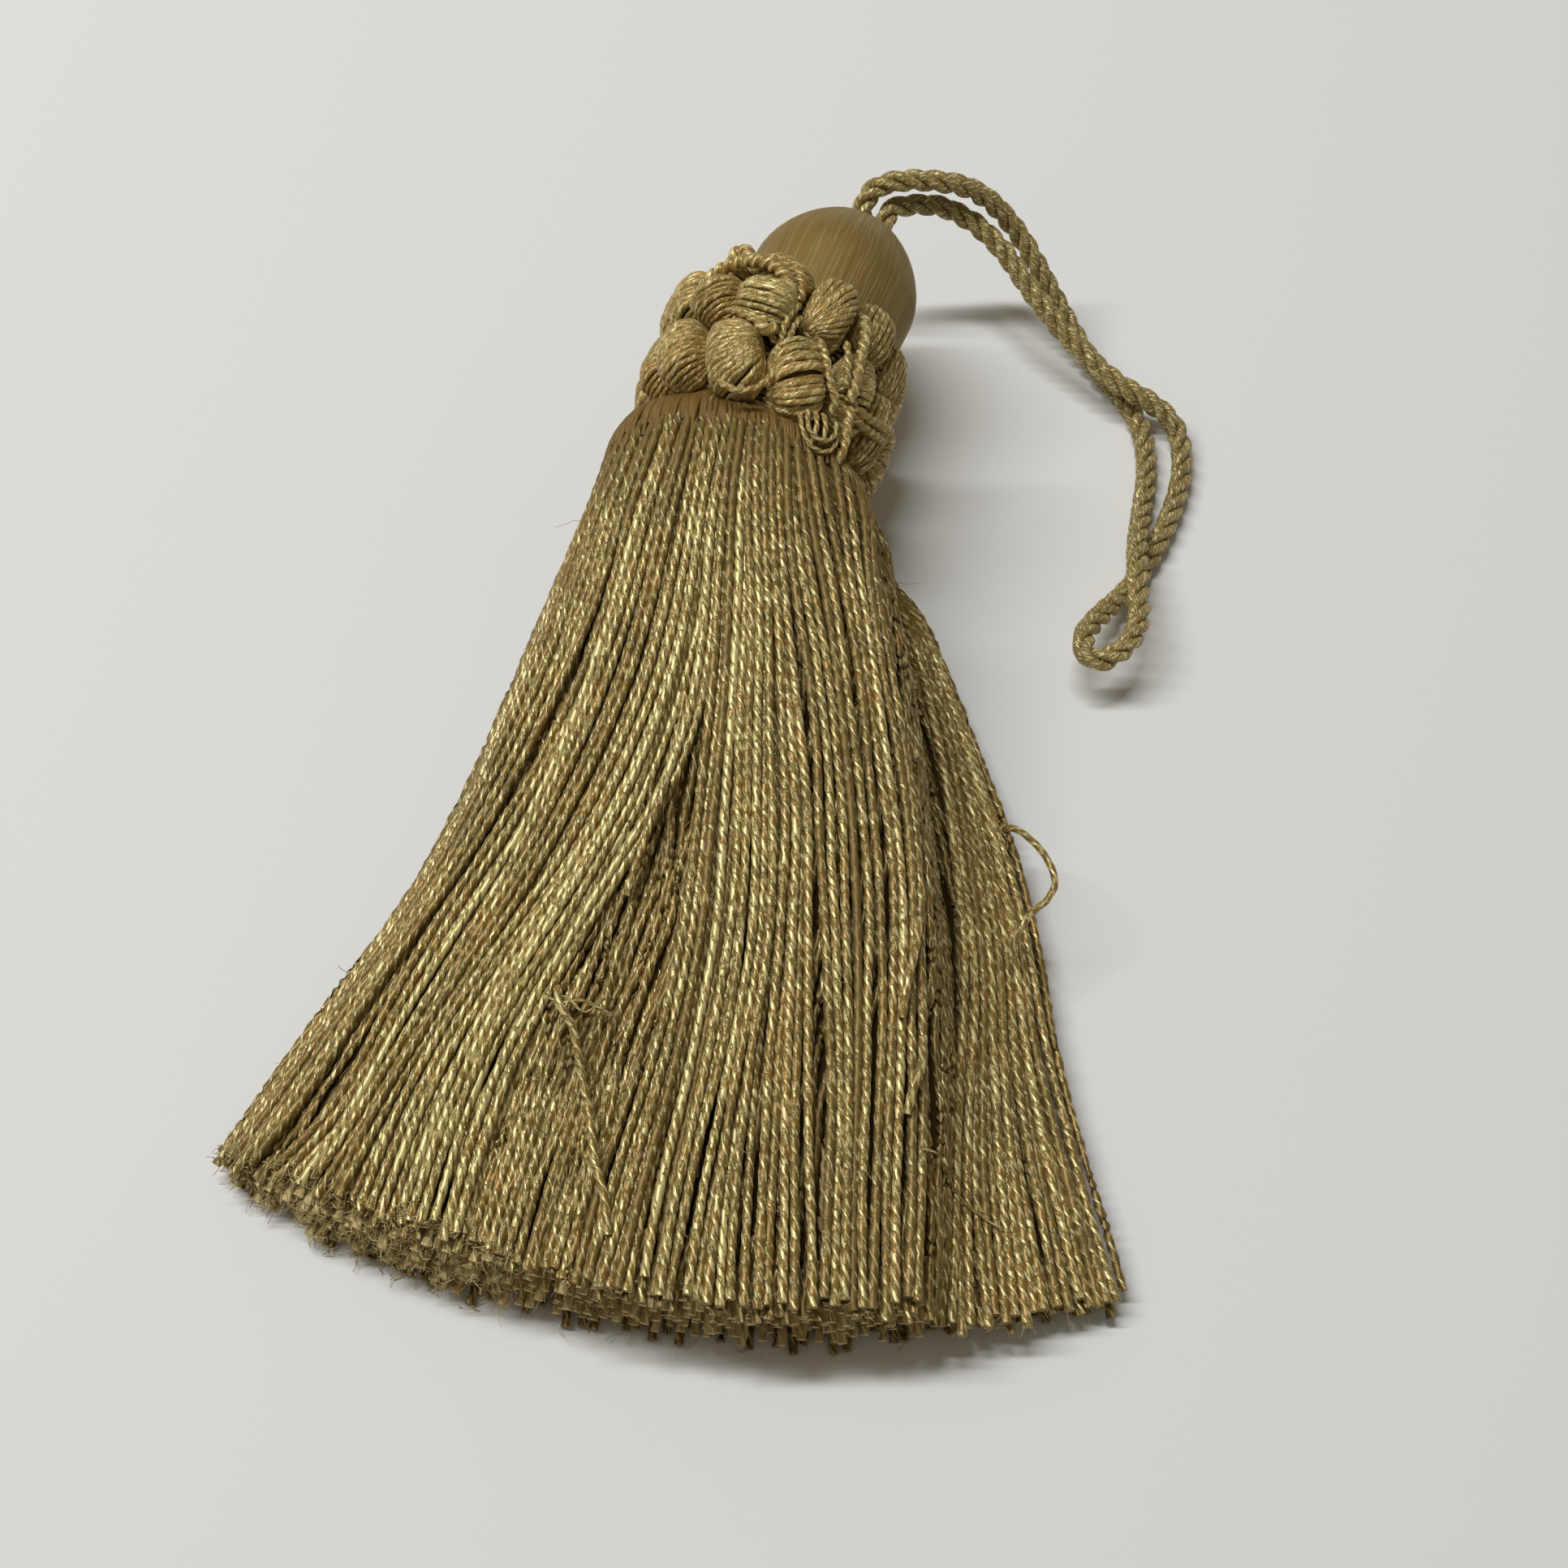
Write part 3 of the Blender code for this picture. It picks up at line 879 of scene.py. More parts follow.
    def inset(self, across: np.ndarray, depth: np.ndarray) -> tuple[np.ndarray, np.ndarray]:
        """Goes down from the top, and in from the steep rims at both sides.

        Args:
            across: Places across, one row for each station.
            depth: How deep, in millimetres.

        Returns:
            Places across and heights.
        """
        step = np.gradient(self.skin, axis=1)
        rim = np.clip((np.abs(across) - self.RIM[0]) / (self.RIM[1] - self.RIM[0]), 0, 1)
        rise = self.read(np.gradient(self.top, axis=1) / step, across) * rim
        flat = 1 - rim * (1 - self.read(np.gradient(self.run, axis=1) / step, across))
        run = self.read(self.run, across) + depth * rise
        return self.find(self.run, run), self.read(self.top, across) - depth * flat

    def find(self, grid: np.ndarray, values: np.ndarray) -> np.ndarray:
        """Finds the places across each station where a rising grid has the given values."""
        return np.array([np.interp(v, g, self.across) for v, g in zip(values, grid)])

    def place(self, across: np.ndarray, height: np.ndarray) -> np.ndarray:
        """Points of the skirt.

        Args:
            across: Places across, one row for each station.
            height: Heights at those places.

        Returns:
            Points in millimetres, by station and place.
        """
        col = self.column
        left = np.hstack((col["left_x"], col["left_y"]))
        bow = col["bow"] * (1 - across**2)
        slant = self.CUT_SLANT * self.reach[:, None] * height / col["crown"]
        out = self.read(self.swell, across) / self.width
        plan = (
            left[:, None, :]
            + self.chord[:, None, :] * ((across + 1) / 2 + out)[..., None]
            + self.forward[:, None, :] * (bow - slant)[..., None]
        )
        return np.concatenate((plan, height[..., None]), axis=2)


@dataclass(frozen=True)
class Lock:
    """Strands that lie together between two edges, sunk at the neck, the middle and the cut."""

    name: str
    strands: int
    left: str
    right: str
    sunk: tuple = (0.0, 0.0, 0.0)
    gap: float = 0.3
    tone: float = 0.0


@dataclass(frozen=True)
class Stray:
    """A loose thread over the skirt: places across and down it, and heights over its strands."""

    points: tuple
    thick: float = 0.8
    tone: float = 0.4


@dataclass(frozen=True)
class Layer:
    """How a layer of strands lies and is toned: its drift sideways and down, tone and margin; the tone's
    spread is uneven dye, its level is painted shade under the top and painted light at the cut.
    """

    drift: float
    sink: float
    tone: float
    tone_spread: float
    margin: float = 0.0


@dataclass(frozen=True)
class Fibre:
    """A kind of loose fibre: its length, its bends, how far it follows the yarn, and thickness."""

    length: tuple
    bend: float
    ahead: float
    scatter: float
    thick: float = 1.0


@dataclass
class Skirt:
    """The skirt of three-ply S-twist yarn, laid strand by strand."""

    seed: int = 7
    stations: int = 60
    diameter: float = 0.78
    pitch: float = -4.0
    # how near the strands may come, in diameters, and how they are pushed apart and drawn home
    closest: float = 0.94
    rounds: int = 60
    push: float = 0.3
    home_pull: tuple = (0.05, 0.08)
    under_strands: int = 86
    under_depth: float = 0.95
    floor_strands: int = 70
    # the short ends that fill the cut: rows, spacing, stagger of every other row, how far up they
    # start, the margin at both sides and the spread of their cut
    end_rows: int = 8
    end_spacing: float = 0.95
    end_stagger: float = 0.45
    end_reach: float = 0.88
    end_margin: float = 0.8
    end_uneven: float = 0.4
    top_layer: Layer = Layer(0.2, 0.3, 0.0, 0.9)
    # painted shade: the layers under the top are toned darker
    under_layer: Layer = Layer(0.35, 0.25, -0.7, 0.5, margin=0.012)
    floor_layer: Layer = Layer(0.12, 0.0, -0.5, 0.6, margin=0.004)
    # painted light: the short ends at the cut are toned lighter
    end_layer: Layer = Layer(0.12, 0.15, 0.9, 0.8)
    floor_rise: float = 0.55
    # drift of a strand down its length: waves and share of each, how far the waves of strands
    # differ, and how it grows from the neck
    waves: tuple = ((2.0, 1.0), (5.0, 0.5), (10.0, 0.35))
    wave_spread: tuple = (0.8, 1.25)
    drift_growth: float = 4.0
    drift_least: float = 0.2
    # how unevenly a lock's strands are laid, in strands
    lock_uneven: float = 0.2
    # where the strands start under the ruff, out from the head's axis and along it
    root_at: tuple = (7.9, 0.5)
    throat_at: tuple = (8.6, -1.4)
    throat_share: float = 0.55
    root_thick: float = 0.8
    neck_thick: tuple = (0.85, 1.0, 6)
    cut_thick: float = 1.08
    cut_spread: tuple = (-1.2, 0.9)
    # the yarn is painted browner and duller where the ruff holds it, partly pressed yarn and partly painted
    # shade of the ruff, and uneven all along
    pressed_and_shaded_tone: float = 2.6
    tone_uneven: float = 0.5
    thick_uneven: float = 0.06
    turn_uneven: float = 0.35
    # how far the strands and the rows below them reach past the cut, from left to right
    top_longer: tuple = ((-1.0, -0.7, -0.4, 0.1, 0.6, 1.0), (0.1, -0.5, -0.7, 0.9, 1.3, 1.6))
    rows_longer: tuple = ((-1.0, -0.6, -0.3, 0.2, 0.6, 1.0), (0.3, 0.1, -0.5, -0.4, 0.1, 0.8))
    # the pressed threads round the neck: how far they reach at the left and at the right edge,
    # where the longer ones begin, their span across, and how they thin out
    heading_reach: tuple = (0.045, 0.18)
    heading_right: float = 0.75
    heading_span: tuple = (-0.97, 0.995, 100)
    heading_uneven: tuple = (0.45, 1.5)
    heading_thick: tuple = (0.9, 0.45)
    heading_tone: tuple = (-0.4, 0.4)
    # the closed body inside: how wide, and how far below the top and above the underside
    core_width: float = 0.96
    core_depth: float = 2.0
    core_lift: float = 1.1
    # edges of the locks: places across, from -1 at the left rim to 1 at the right, at each reach
    guide_reach: tuple = (0.0, 0.1, 0.2, 0.3, 0.4, 0.5, 0.6, 0.7, 0.8, 0.9, 1.0)
    edges: dict = field(
        default_factory=lambda: {
            "outer_left": (-1.0,) * 11,
            "side_left": (-0.62, -0.62, -0.62, -0.62, -0.67, -0.75, -0.81, -0.855, -0.865, -0.86, -0.9),
            "side_right": (-0.6, -0.6, -0.6, -0.6, -0.635, -0.72, -0.785, -0.83, -0.82, -0.8, -0.86),
            "left_strand": (-0.5, -0.5, -0.51, -0.53, -0.57, -0.61, -0.67, -0.71, -0.73, -0.73, -0.755),
            "left_inner": (-0.31, -0.31, -0.31, -0.32, -0.35, -0.43, -0.52, -0.6, -0.65, -0.66, -0.64),
            "big_left": (-0.12, -0.125, -0.13, -0.14, -0.19, -0.25, -0.345, -0.435, -0.485, -0.48, -0.45),
            "cross_left": (-0.115, -0.12, -0.125, -0.13, -0.135, -0.2, -0.325, -0.41, -0.462, -0.465, -0.44),
            "cross_right": (-0.09, -0.095, -0.1, -0.1, -0.095, -0.155, -0.28, -0.375, -0.425, -0.425, -0.4),
            "big_right": (-0.09, -0.095, -0.1, -0.1, -0.085, -0.075, -0.075, -0.08, -0.1, -0.12, -0.13),
            "middle": (0.0, 0.0, 0.0, 0.0, 0.005, 0.01, 0.01, 0.01, 0.005, -0.01, -0.01),
            "third": (0.09, 0.09, 0.095, 0.1, 0.11, 0.115, 0.12, 0.12, 0.11, 0.085, 0.08),
            "fourth": (0.17, 0.17, 0.175, 0.18, 0.19, 0.2, 0.205, 0.2, 0.195, 0.2, 0.215),
            "thin_left": (0.235, 0.24, 0.245, 0.255, 0.28, 0.3, 0.305, 0.315, 0.33, 0.34, 0.35),
            "thin_right": (0.24, 0.245, 0.25, 0.26, 0.29, 0.314, 0.32, 0.331, 0.348, 0.358, 0.365),
            "groove": (0.5, 0.5, 0.5, 0.51, 0.51, 0.51, 0.5, 0.49, 0.48, 0.47, 0.46),
            "sheaf": (0.93, 0.85, 0.73, 0.68, 0.665, 0.665, 0.655, 0.64, 0.62, 0.6, 0.565),
            "lower": (0.97, 0.95, 0.9, 0.87, 0.84, 0.8, 0.765, 0.74, 0.71, 0.67, 0.63),
            "outer_right": (1.0, 0.995, 0.99, 0.99, 0.985, 0.985, 0.985, 0.985, 0.985, 0.99, 0.99),
        }
    )
    locks: tuple = (
        Lock("far_left", 15, "outer_left", "side_left", tone=-0.2),
        Lock("left_edge", 5, "side_right", "left_strand", tone=0.3),
        Lock("left", 8, "left_strand", "left_inner"),
        Lock("left_top", 12, "left_inner", "big_left", tone=0.3),
        Lock("fan", 15, "big_left", "big_right", sunk=(2.0, 1.8, 0.8)),
        Lock("crossing", 3, "cross_left", "cross_right", gap=0.1, tone=0.3),
        Lock("middle_one", 6, "big_right", "middle"),
        Lock("middle_two", 5, "middle", "third"),
        Lock("middle_three", 6, "third", "fourth", tone=0.2),
        Lock("middle_four", 5, "fourth", "thin_left"),
        Lock("right_one", 5, "thin_right", "groove", tone=0.1),
        Lock("right_two", 5, "groove", "sheaf"),
        Lock("lower_layer", 17, "lower", "outer_right", tone=-0.5),
    )
    strays: tuple = (
        # kinked yarns that cross the front sheaf's edge
        Stray(((0.62, 0.66, 0.1), (0.6, 0.7, 0.5), (0.575, 0.735, 0.55), (0.555, 0.77, 0.1)), 0.95),
        Stray(((0.61, 0.79, 0.0), (0.6, 0.82, 0.5), (0.58, 0.835, 0.55), (0.555, 0.86, 0.0)), 0.95),
        # a yarn that wanders over the fan
        Stray(
            (
                (-0.37, 0.74, 0.3), (-0.35, 0.76, 0.6), (-0.3, 0.78, 0.3), (-0.25, 0.82, -0.1),
                (-0.2, 0.86, -0.1), (-0.16, 0.9, 0.0), (-0.12, 0.93, 0.1), (-0.09, 0.965, 0.0),
            ),
            0.9,
        ),
        # a yarn that crosses the big parting
        Stray(((-0.185, 0.5, 0.0), (-0.2, 0.53, 0.2), (-0.225, 0.57, 0.1), (-0.25, 0.63, -0.4)), 0.9),
        # a snag of fibres over the fan
        Stray(((-0.4, 0.748, 0.1), (-0.35, 0.757, 0.4), (-0.29, 0.752, 0.4), (-0.21, 0.762, 0.0)), 0.4),
        Stray(((-0.38, 0.76, 0.1), (-0.34, 0.75, 0.5), (-0.28, 0.764, 0.4), (-0.24, 0.745, 0.0)), 0.3),
        Stray(((-0.345, 0.735, 0.0), (-0.33, 0.755, 0.5), (-0.34, 0.775, 0.4), (-0.32, 0.8, 0.0)), 0.3),
        # a thin fibre over the lower layer
        Stray(((0.59, 0.89, 0.0), (0.63, 0.9, 0.4), (0.68, 0.915, 0.3), (0.76, 0.945, 0.0)), 0.3),
    )
    # a yarn that stands out in a loop at the right
    loose_loop: tuple = (
        (27.3, -8.2, 5.2), (28.5, -9.4, 6.9), (30.2, -11.8, 7.7), (31.1, -14.3, 7.6),
        (30.4, -16.0, 7.4), (29.1, -17.1, 7.2), (27.8, -18.9, 6.6), (27.4, -20.6, 5.2),
    )
    # fibres at each cut end: where they start, and more of them, felted, left of a place on X
    fibre_radius: float = 0.024
    fuzz_back: tuple = (0.0, 0.8)
    fuzz_spread: float = 0.25
    end_fuzz: float = 2.0
    left_fuzz: float = 13.0
    left_fuzz_side: float = -11.0
    felt_share: float = 0.75
    felt_ahead: float = 0.2
    teased: Fibre = Fibre((0.5, 1.9), 0.5, 0.7, 0.6)
    felted: Fibre = Fibre((0.5, 1.4), 0.9, 0.0, 0.9, thick=1.7)
    # single fibres that stand off the strands, and how much they rise
    flyaways: int = 90
    flyaway: Fibre = Fibre((1.5, 4.0), 0.25, 1.0, 0.25)
    flyaway_rise: tuple = (0.0, 0.0, 0.15)
    curl_steps: int = 5

    def __post_init__(self) -> None:
        """Reads the sections and the edges at every station."""
        self.shape = SkirtShape(self.stations)
        guide = np.array(self.guide_reach)
        self.edge = {
            name: hermite_rows(guide, np.array(row)[:, None], self.shape.reach)
            for name, row in self.edges.items()
        }
        self.random = np.random.default_rng(self.seed)

    def _lock(self, lock: Lock) -> tuple[np.ndarray, np.ndarray]:
        """Lays one lock's strands evenly over the skin between its edges.

        Args:
            lock: The lock.

        Returns:
            Places across and depths below the top, by station and strand.
        """
        shape = self.shape
        left = shape.read(shape.skin, self.edge[lock.left])
        right = shape.read(shape.skin, self.edge[lock.right])
        index = np.arange(lock.strands)
        uneven = self.random.normal(0, self.lock_uneven / lock.strands, lock.strands)
        share = (index + 0.5) / lock.strands + uneven
        margin = lock.gap * self.diameter
        skin = left + margin + (right - left - 2 * margin) * share
        across = shape.find(shape.skin, skin)
        room = (right - left) / lock.strands
        # a strand comes up between its neighbours as they part
        between, under = (
            np.sqrt(np.maximum(0, self.diameter**2 - (steps * room) ** 2)) for steps in (1, 2)
        )
        depth = np.where(index % 2 == 1, between + 0.5 * under, np.where(index % 4 == 2, under, 0.0))
        sunk = np.interp(shape.reach, (0.0, 0.5, 1.0), lock.sunk)[:, None]
        return across, depth + sunk

    def _wander(self, count: int, size: float) -> np.ndarray:
        """Slow sideways drift of each strand, in millimetres, by station and strand."""
        reach = self.shape.reach[:, None]
        drift = np.zeros((self.stations, count))
        for waves, share in self.waves:
            phase = self.random.uniform(0, math.tau, count)
            many = waves * self.random.uniform(*self.wave_spread, count)
            drift += share * np.sin(reach * many * math.tau + phase)
        return drift * size * np.clip(reach * self.drift_growth, self.drift_least, 1.0)

    def _settle(self, across: np.ndarray, depth: np.ndarray) -> tuple[np.ndarray, np.ndarray]:
        """Pushes apart strands that come nearer than the closest spacing, over a fixed number of rounds.

        Args:
            across: Places across, by station and strand.
            depth: Depths below the top.

        Returns:
            Places across and heights.
        """
        shape = self.shape
        radius = self.diameter / 2
        half = shape.run[:, [-1]]
        across, z = shape.inset(across, depth + radius)
        x = shape.read(shape.run, across)
        x_home, z_home = x.copy(), z.copy()
        closest = self.diameter * self.closest
        itself = np.eye(x.shape[1], dtype=bool)[None]
        for _ in range(self.rounds):
            gap_x = x[:, :, None] - x[:, None, :]
            gap_z = z[:, :, None] - z[:, None, :]
            far = np.hypot(gap_x, gap_z) + 1e-6
            push = np.where((far < closest) & ~itself, (closest - far) / far * self.push, 0.0)
            x = x + (push * gap_x).sum(axis=2)
            z = z + (push * gap_z).sum(axis=2)
            x += self.home_pull[0] * (x_home - x)
            z += self.home_pull[1] * (z_home - z)
            # each point goes half-way to the middle of its neighbours
            for line in (x, z):
                line[1:-1] = 0.5 * line[1:-1] + 0.25 * (line[:-2] + line[2:])
            x = np.clip(x, -half + radius * 0.5, half - radius * 0.5)
            now = shape.find(shape.run, x)
            z = np.clip(z, shape.read(shape.bottom, now) + radius, shape.read(shape.top, now) - radius)
        return shape.find(shape.run, x), z

    def _threads(
        self,
        points: np.ndarray,
        tones: np.ndarray,
        from_ruff: bool = True,
        uneven: float = 0.55,
        longer: np.ndarray | float = 0.0,
    ) -> list[Thread]:
        """Turns strands into threads with uneven cut ends.

        Args:
            points: Points by station and strand.
            tones: Each strand's tone.
            from_ruff: Whether they start under the ruff.
            uneven: Spread of the cut, in millimetres.
            longer: How far they reach past the cut, in millimetres.

        Returns:
            The threads.
        """
        threads = []
        longer = np.broadcast_to(longer, (points.shape[1],))
        for number in range(points.shape[1]):
            line = points[:, number].copy()
            past = longer[number] + np.clip(self.random.normal(0, uneven), *self.cut_spread)
            line[-1] += unit(line[-1] - line[-2]) * past
            thick = np.ones(len(line))
            if from_ruff:
                line = self._rooted(line)
                thick = np.concatenate(([self.root_thick] * 2, thick))
                thick[2:8] = np.linspace(*self.neck_thick)[: len(thick) - 2]
            thick[-1] = self.cut_thick
            # held: the share of the ruff's painted shade and of pressed yarn at each point
            held = np.clip((HELD_LENGTH - run_along(line)) / HELD_FADE, 0, 1) if from_ruff else 0.0
            tone = tones[number] - self.pressed_and_shaded_tone * held + self.random.normal(0, self.tone_uneven, len(line))
            thick = thick * (1 + self.random.normal(0, self.thick_uneven, len(line)))
            start = self.random.uniform(0, math.tau)
            turn = start + np.cumsum(self.random.normal(0, self.turn_uneven, len(line)))
            threads.append(Thread(line, thick, turn, tone))
        return threads

    def _rooted(self, line: np.ndarray) -> np.ndarray:
        """Leads a strand back under the ruff.

        Args:
            line: The strand's points, from the neck down.

        Returns:
            The points, with two more before them.
        """
        axis = np.array(head_frame().to_3x3().col[2])
        away = line[0] - HEAD_BASE
        away = unit(away - axis * away.dot(axis))
        root, throat = (
            HEAD_BASE + away * out + axis * along for out, along in (self.root_at, self.throat_at)
        )
        throat = line[0] * (1 - self.throat_share) + throat * self.throat_share
        return np.vstack((root, throat, line))

    def _top_strands(self) -> list[Thread]:
        """The strands that show from above, lock by lock."""
        shape = self.shape
        laid = [self._lock(lock) for lock in self.locks]
        across, depth = (np.hstack(part) for part in zip(*laid))
        count = across.shape[1]
        layer = self.top_layer
        skin = shape.read(shape.skin, across) + self._wander(count, layer.drift)
        across = shape.find(shape.skin, skin)
        depth = depth + np.abs(self._wander(count, layer.sink)) * self.random.uniform(0.2, 1.0, count)
        across, height = self._settle(across, depth)
        tones = np.concatenate([np.full(lock.strands, lock.tone) for lock in self.locks])
        tones = tones + self.random.normal(layer.tone, layer.tone_spread, count)
        longer = np.interp(across[-1], *self.top_longer)
        return self._threads(shape.place(across, height), tones, longer=longer)

    def _under_layer(self) -> list[Thread]:
        """The next layer, which shows only in the partings."""
        shape = self.shape
        count, layer = self.under_strands, self.under_layer
        share = np.linspace(layer.margin, 1 - layer.margin, count)
        skin = shape.skin[:, [-1]] * share + self._wander(count, layer.drift)
        depth = self.diameter / 2 + self.under_depth + np.abs(self._wander(count, layer.sink))
        across, height = shape.inset(shape.find(shape.skin, skin), depth)
        height = np.maximum(height, shape.read(shape.bottom, across) + self.diameter / 2)
        longer = np.interp(across[-1], *self.top_longer)
        tones = self.random.normal(layer.tone, layer.tone_spread, count)
        return self._threads(shape.place(across, height), tones, longer=longer)

    def _underside(self) -> list[Thread]:
        """The strands that the skirt lies on, from rim to rim."""
        shape = self.shape
        count, layer = self.floor_strands, self.floor_layer
        skin = shape.over(shape.bottom)
        share = np.linspace(layer.margin, 1 - layer.margin, count)
        laid = skin[:, [-1]] * share + self._wander(count, layer.drift)
        across = shape.find(skin, laid)
        height = shape.read(shape.bottom, across) + self.diameter * self.floor_rise
        longer = np.interp(across[-1], *self.rows_longer)
        tones = self.random.normal(layer.tone, layer.tone_spread, count)
        return self._threads(shape.place(across, height), tones, longer=longer)

    def _end_rows(self) -> list[Thread]:
        """Short ends that fill the cut, row below row."""
        shape, layer = self.shape, self.end_layer
        first = int(self.end_reach * (self.stations - 1))
        half = shape.run[-1, -1] - self.end_margin
        rows = []
        for row in range(self.end_rows):
            depth = self.core_depth + row * self.end_spacing
            run = np.arange(-half, half, self.end_spacing)
            run = run + self.random.normal(0, layer.sink, len(run)) + self.end_stagger * (row % 2)
            across = np.tile(shape.find(shape.run[-1:], run[None, :]), (self.stations, 1))
            drift = self._wander(len(run), layer.drift)
            across = shape.find(shape.run, shape.read(shape.run, across) + drift)
            height = shape.read(shape.top, across) - depth - self.diameter / 2 + drift
            inside = height[-1] > shape.read(shape.bottom, across)[-1] + self.core_lift
            points = shape.place(across, height)[first::2, inside]
            tones = self.random.normal(layer.tone, layer.tone_spread, inside.sum())
            longer = np.interp(across[-1, inside], *self.rows_longer)
            rows += self._threads(points, tones, False, self.end_uneven, longer)
        return rows

    def _core(self, finish: bpy.types.Material) -> bpy.types.Object:
        """The closed body of yarn that no strand is laid for, painted dark as the shade inside the skirt.

        Args:
            finish: The core's material.

        Returns:
            The core.
        """
        shape = self.shape
        across = np.tile(np.linspace(-self.core_width, self.core_width, 49), (self.stations, 1))
        top, bottom = shape.read(shape.top, across), shape.read(shape.bottom, across)
        middle = (top + bottom) / 2
        upper = shape.place(across, np.maximum(top - self.core_depth, middle + 0.05))[:-2]
        lower = shape.place(across, np.minimum(bottom + self.core_lift, middle - 0.05))[:-2]
        rings = np.concatenate((upper, lower[:, ::-1]), axis=1)
        return lofted("skirt_core", rings, finish)

    def _strays(self) -> list[Thread]:
        """The loose threads over the strands."""
        shape = self.shape
        rows = np.arange(self.stations)
        threads = []
        for stray in self.strays:
            points = []
            for across, reach, lift in stray.points:
                whole = np.full((self.stations, 1), across)
                line = shape.place(whole, shape.read(shape.top, whole) + lift)[:, 0]
                at = reach * (self.stations - 1)
                points.append(read_line(line, at, rows))
            turn = float(self.random.uniform(0, math.tau))
            threads.append(Thread(smooth_route(np.array(points), 30), stray.thick, turn, stray.tone))
        loop = smooth_route(np.array(self.loose_loop), 40)
        threads.append(Thread(loop, 0.8, 0.0, 0.2))
        return threads

    def _heading(self) -> list[Thread]:
        """The smooth pressed threads round the neck, longest at the right, that sink into the skirt."""
        shape = self.shape
        threads = []
        for across in np.linspace(*self.heading_span):
            longest = np.interp(across, (self.heading_right, 1.0), self.heading_reach)
            uneven = self.random.uniform(*self.heading_uneven)
            last = int(longest * uneven * (self.stations - 1)) + 2
            whole = np.full((self.stations, 1), across)
            line = shape.place(whole, shape.read(shape.top, whole))[:last, 0]
            line[:, 2] -= np.linspace(-0.1, self.diameter, last)
            tone = self.random.normal(*self.heading_tone, 1)
            thread = self._threads(line[:, None], tone, uneven=0.0)[0]
            thread.thick = np.linspace(*self.heading_thick, len(thread.points))
            threads.append(thread)
        return threads

    def _leave(self, way: np.ndarray, kind: Fibre) -> tuple[np.ndarray, float]:
        """The direction in which a fibre leaves yarn that runs along way, and its length."""
        turned = way * kind.ahead + self.random.normal(0, kind.scatter, 3)
        return turned, self.random.uniform(*kind.length)

    def _curl(self, start: np.ndarray, way: np.ndarray, length: float, kind: Fibre) -> Thread:
        """One curling fibre.

        Args:
            start: Where it leaves the yarn.
            way: The direction in which it starts.
            length: Its length, in millimetres.
            kind: The kind of fibre.

        Returns:
            The fibre.
        """
        points = [start]
        for _ in range(self.curl_steps):
            way = unit(way + self.random.normal(0, kind.bend, 3))
            points.append(points[-1] + way * length / self.curl_steps)
        line = np.array(points)
        line[:, 2] = np.maximum(line[:, 2], FIBRE_FLOOR)
        thick = kind.thick * self.random.uniform(0.7, 1.2)
        # painted light: fibres are toned light so they show pale against the shade
        return Thread(line, thick, 0.0, self.random.normal(1.2, 0.8))

    def _fuzz(self, ends: list[Thread], top: list[Thread]) -> list[Thread]:
        """Fine fibres teased out at the cut and along the strands.

        Args:
            ends: The threads that end at the cut.
            top: The strands that show.

        Returns:
            The fibres.
        """
        fibres = []
        for thread in ends:
            tip = thread.points[-1]
            way = unit(tip - thread.points[-3])
            at_left = tip[0] < self.left_fuzz_side
            for _ in range(self.random.poisson(self.left_fuzz if at_left else self.end_fuzz)):
                kind = self.teased
                start = tip - way * self.random.uniform(*self.fuzz_back)
                start = start + self.random.normal(0, self.fuzz_spread, 3)
                turned, length = self._leave(way, kind)
                if at_left and self.random.uniform() < self.felt_share:
                    kind = self.felted
                    start = start + way * self.felt_ahead
                    turned, length = self._leave(way, kind)
                fibres.append(self._curl(start, turned, length, kind))
        kind = self.flyaway
        for _ in range(self.flyaways):
            thread = top[self.random.integers(len(top))]
            at = self.random.integers(8, len(thread.points) - 2)
            turned, length = self._leave(unit(thread.points[at + 1] - thread.points[at]), kind)
            start = thread.points[at] + (0, 0, self.diameter * 0.4)
            fibres.append(self._curl(start, turned + self.flyaway_rise, length, kind))
        return fibres

    def build(
        self,
        spinner: Spinner,
        yarn: bpy.types.Material,
        smooth: bpy.types.Material,
        cut: bpy.types.Material,
        dark: bpy.types.Material,
    ) -> None:
        """Lays and spins every strand of the skirt.

        Args:
            spinner: The yarn spinner.
            yarn: The yarn's material.
            smooth: The heading's material.
            cut: The material of cut ends and teased fibres.
            dark: The core's material.
        """
        radius = self.diameter / 2
        shown = Spin(radius, 3, self.pitch, 9, 0.43, waist=0.76)
        # what lies deeper is spun with longer steps and fewer sides
        under = Spin(radius, 3, self.pitch, 6, 0.87, waist=0.7)
        below = Spin(radius, 3, self.pitch, 6, 0.85, waist=0.7)
        held = Spin(radius, 2, -9.0, 8, 0.6, waist=0.85)
        fibre = Spin(self.fibre_radius, 1, -9.0, 3, 0.5, waist=1.0)
        top, floor, rows = self._top_strands(), self._underside(), self._end_rows()
        half = len(top) // 2
        pieces = [
            spinner.spin("skirt_strands_left", top[:half], shown, yarn),
            spinner.spin("skirt_strands_right", top[half:], shown, yarn),
            spinner.spin("skirt_under_layer", self._under_layer(), under, yarn),
            spinner.spin("skirt_underside", floor, below, yarn),
            spinner.spin("skirt_cut_ends", rows, below, cut),
            spinner.spin("skirt_loose_yarns", self._strays(), shown, yarn),
            spinner.spin("skirt_heading", self._heading(), held, smooth),
            spinner.spin("skirt_fuzz", self._fuzz([*top, *rows, *floor], top), fibre, cut),
            self._core(dark),
        ]
        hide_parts("skirt")
        for piece in pieces:
            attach(piece, BODY)
            report(piece)


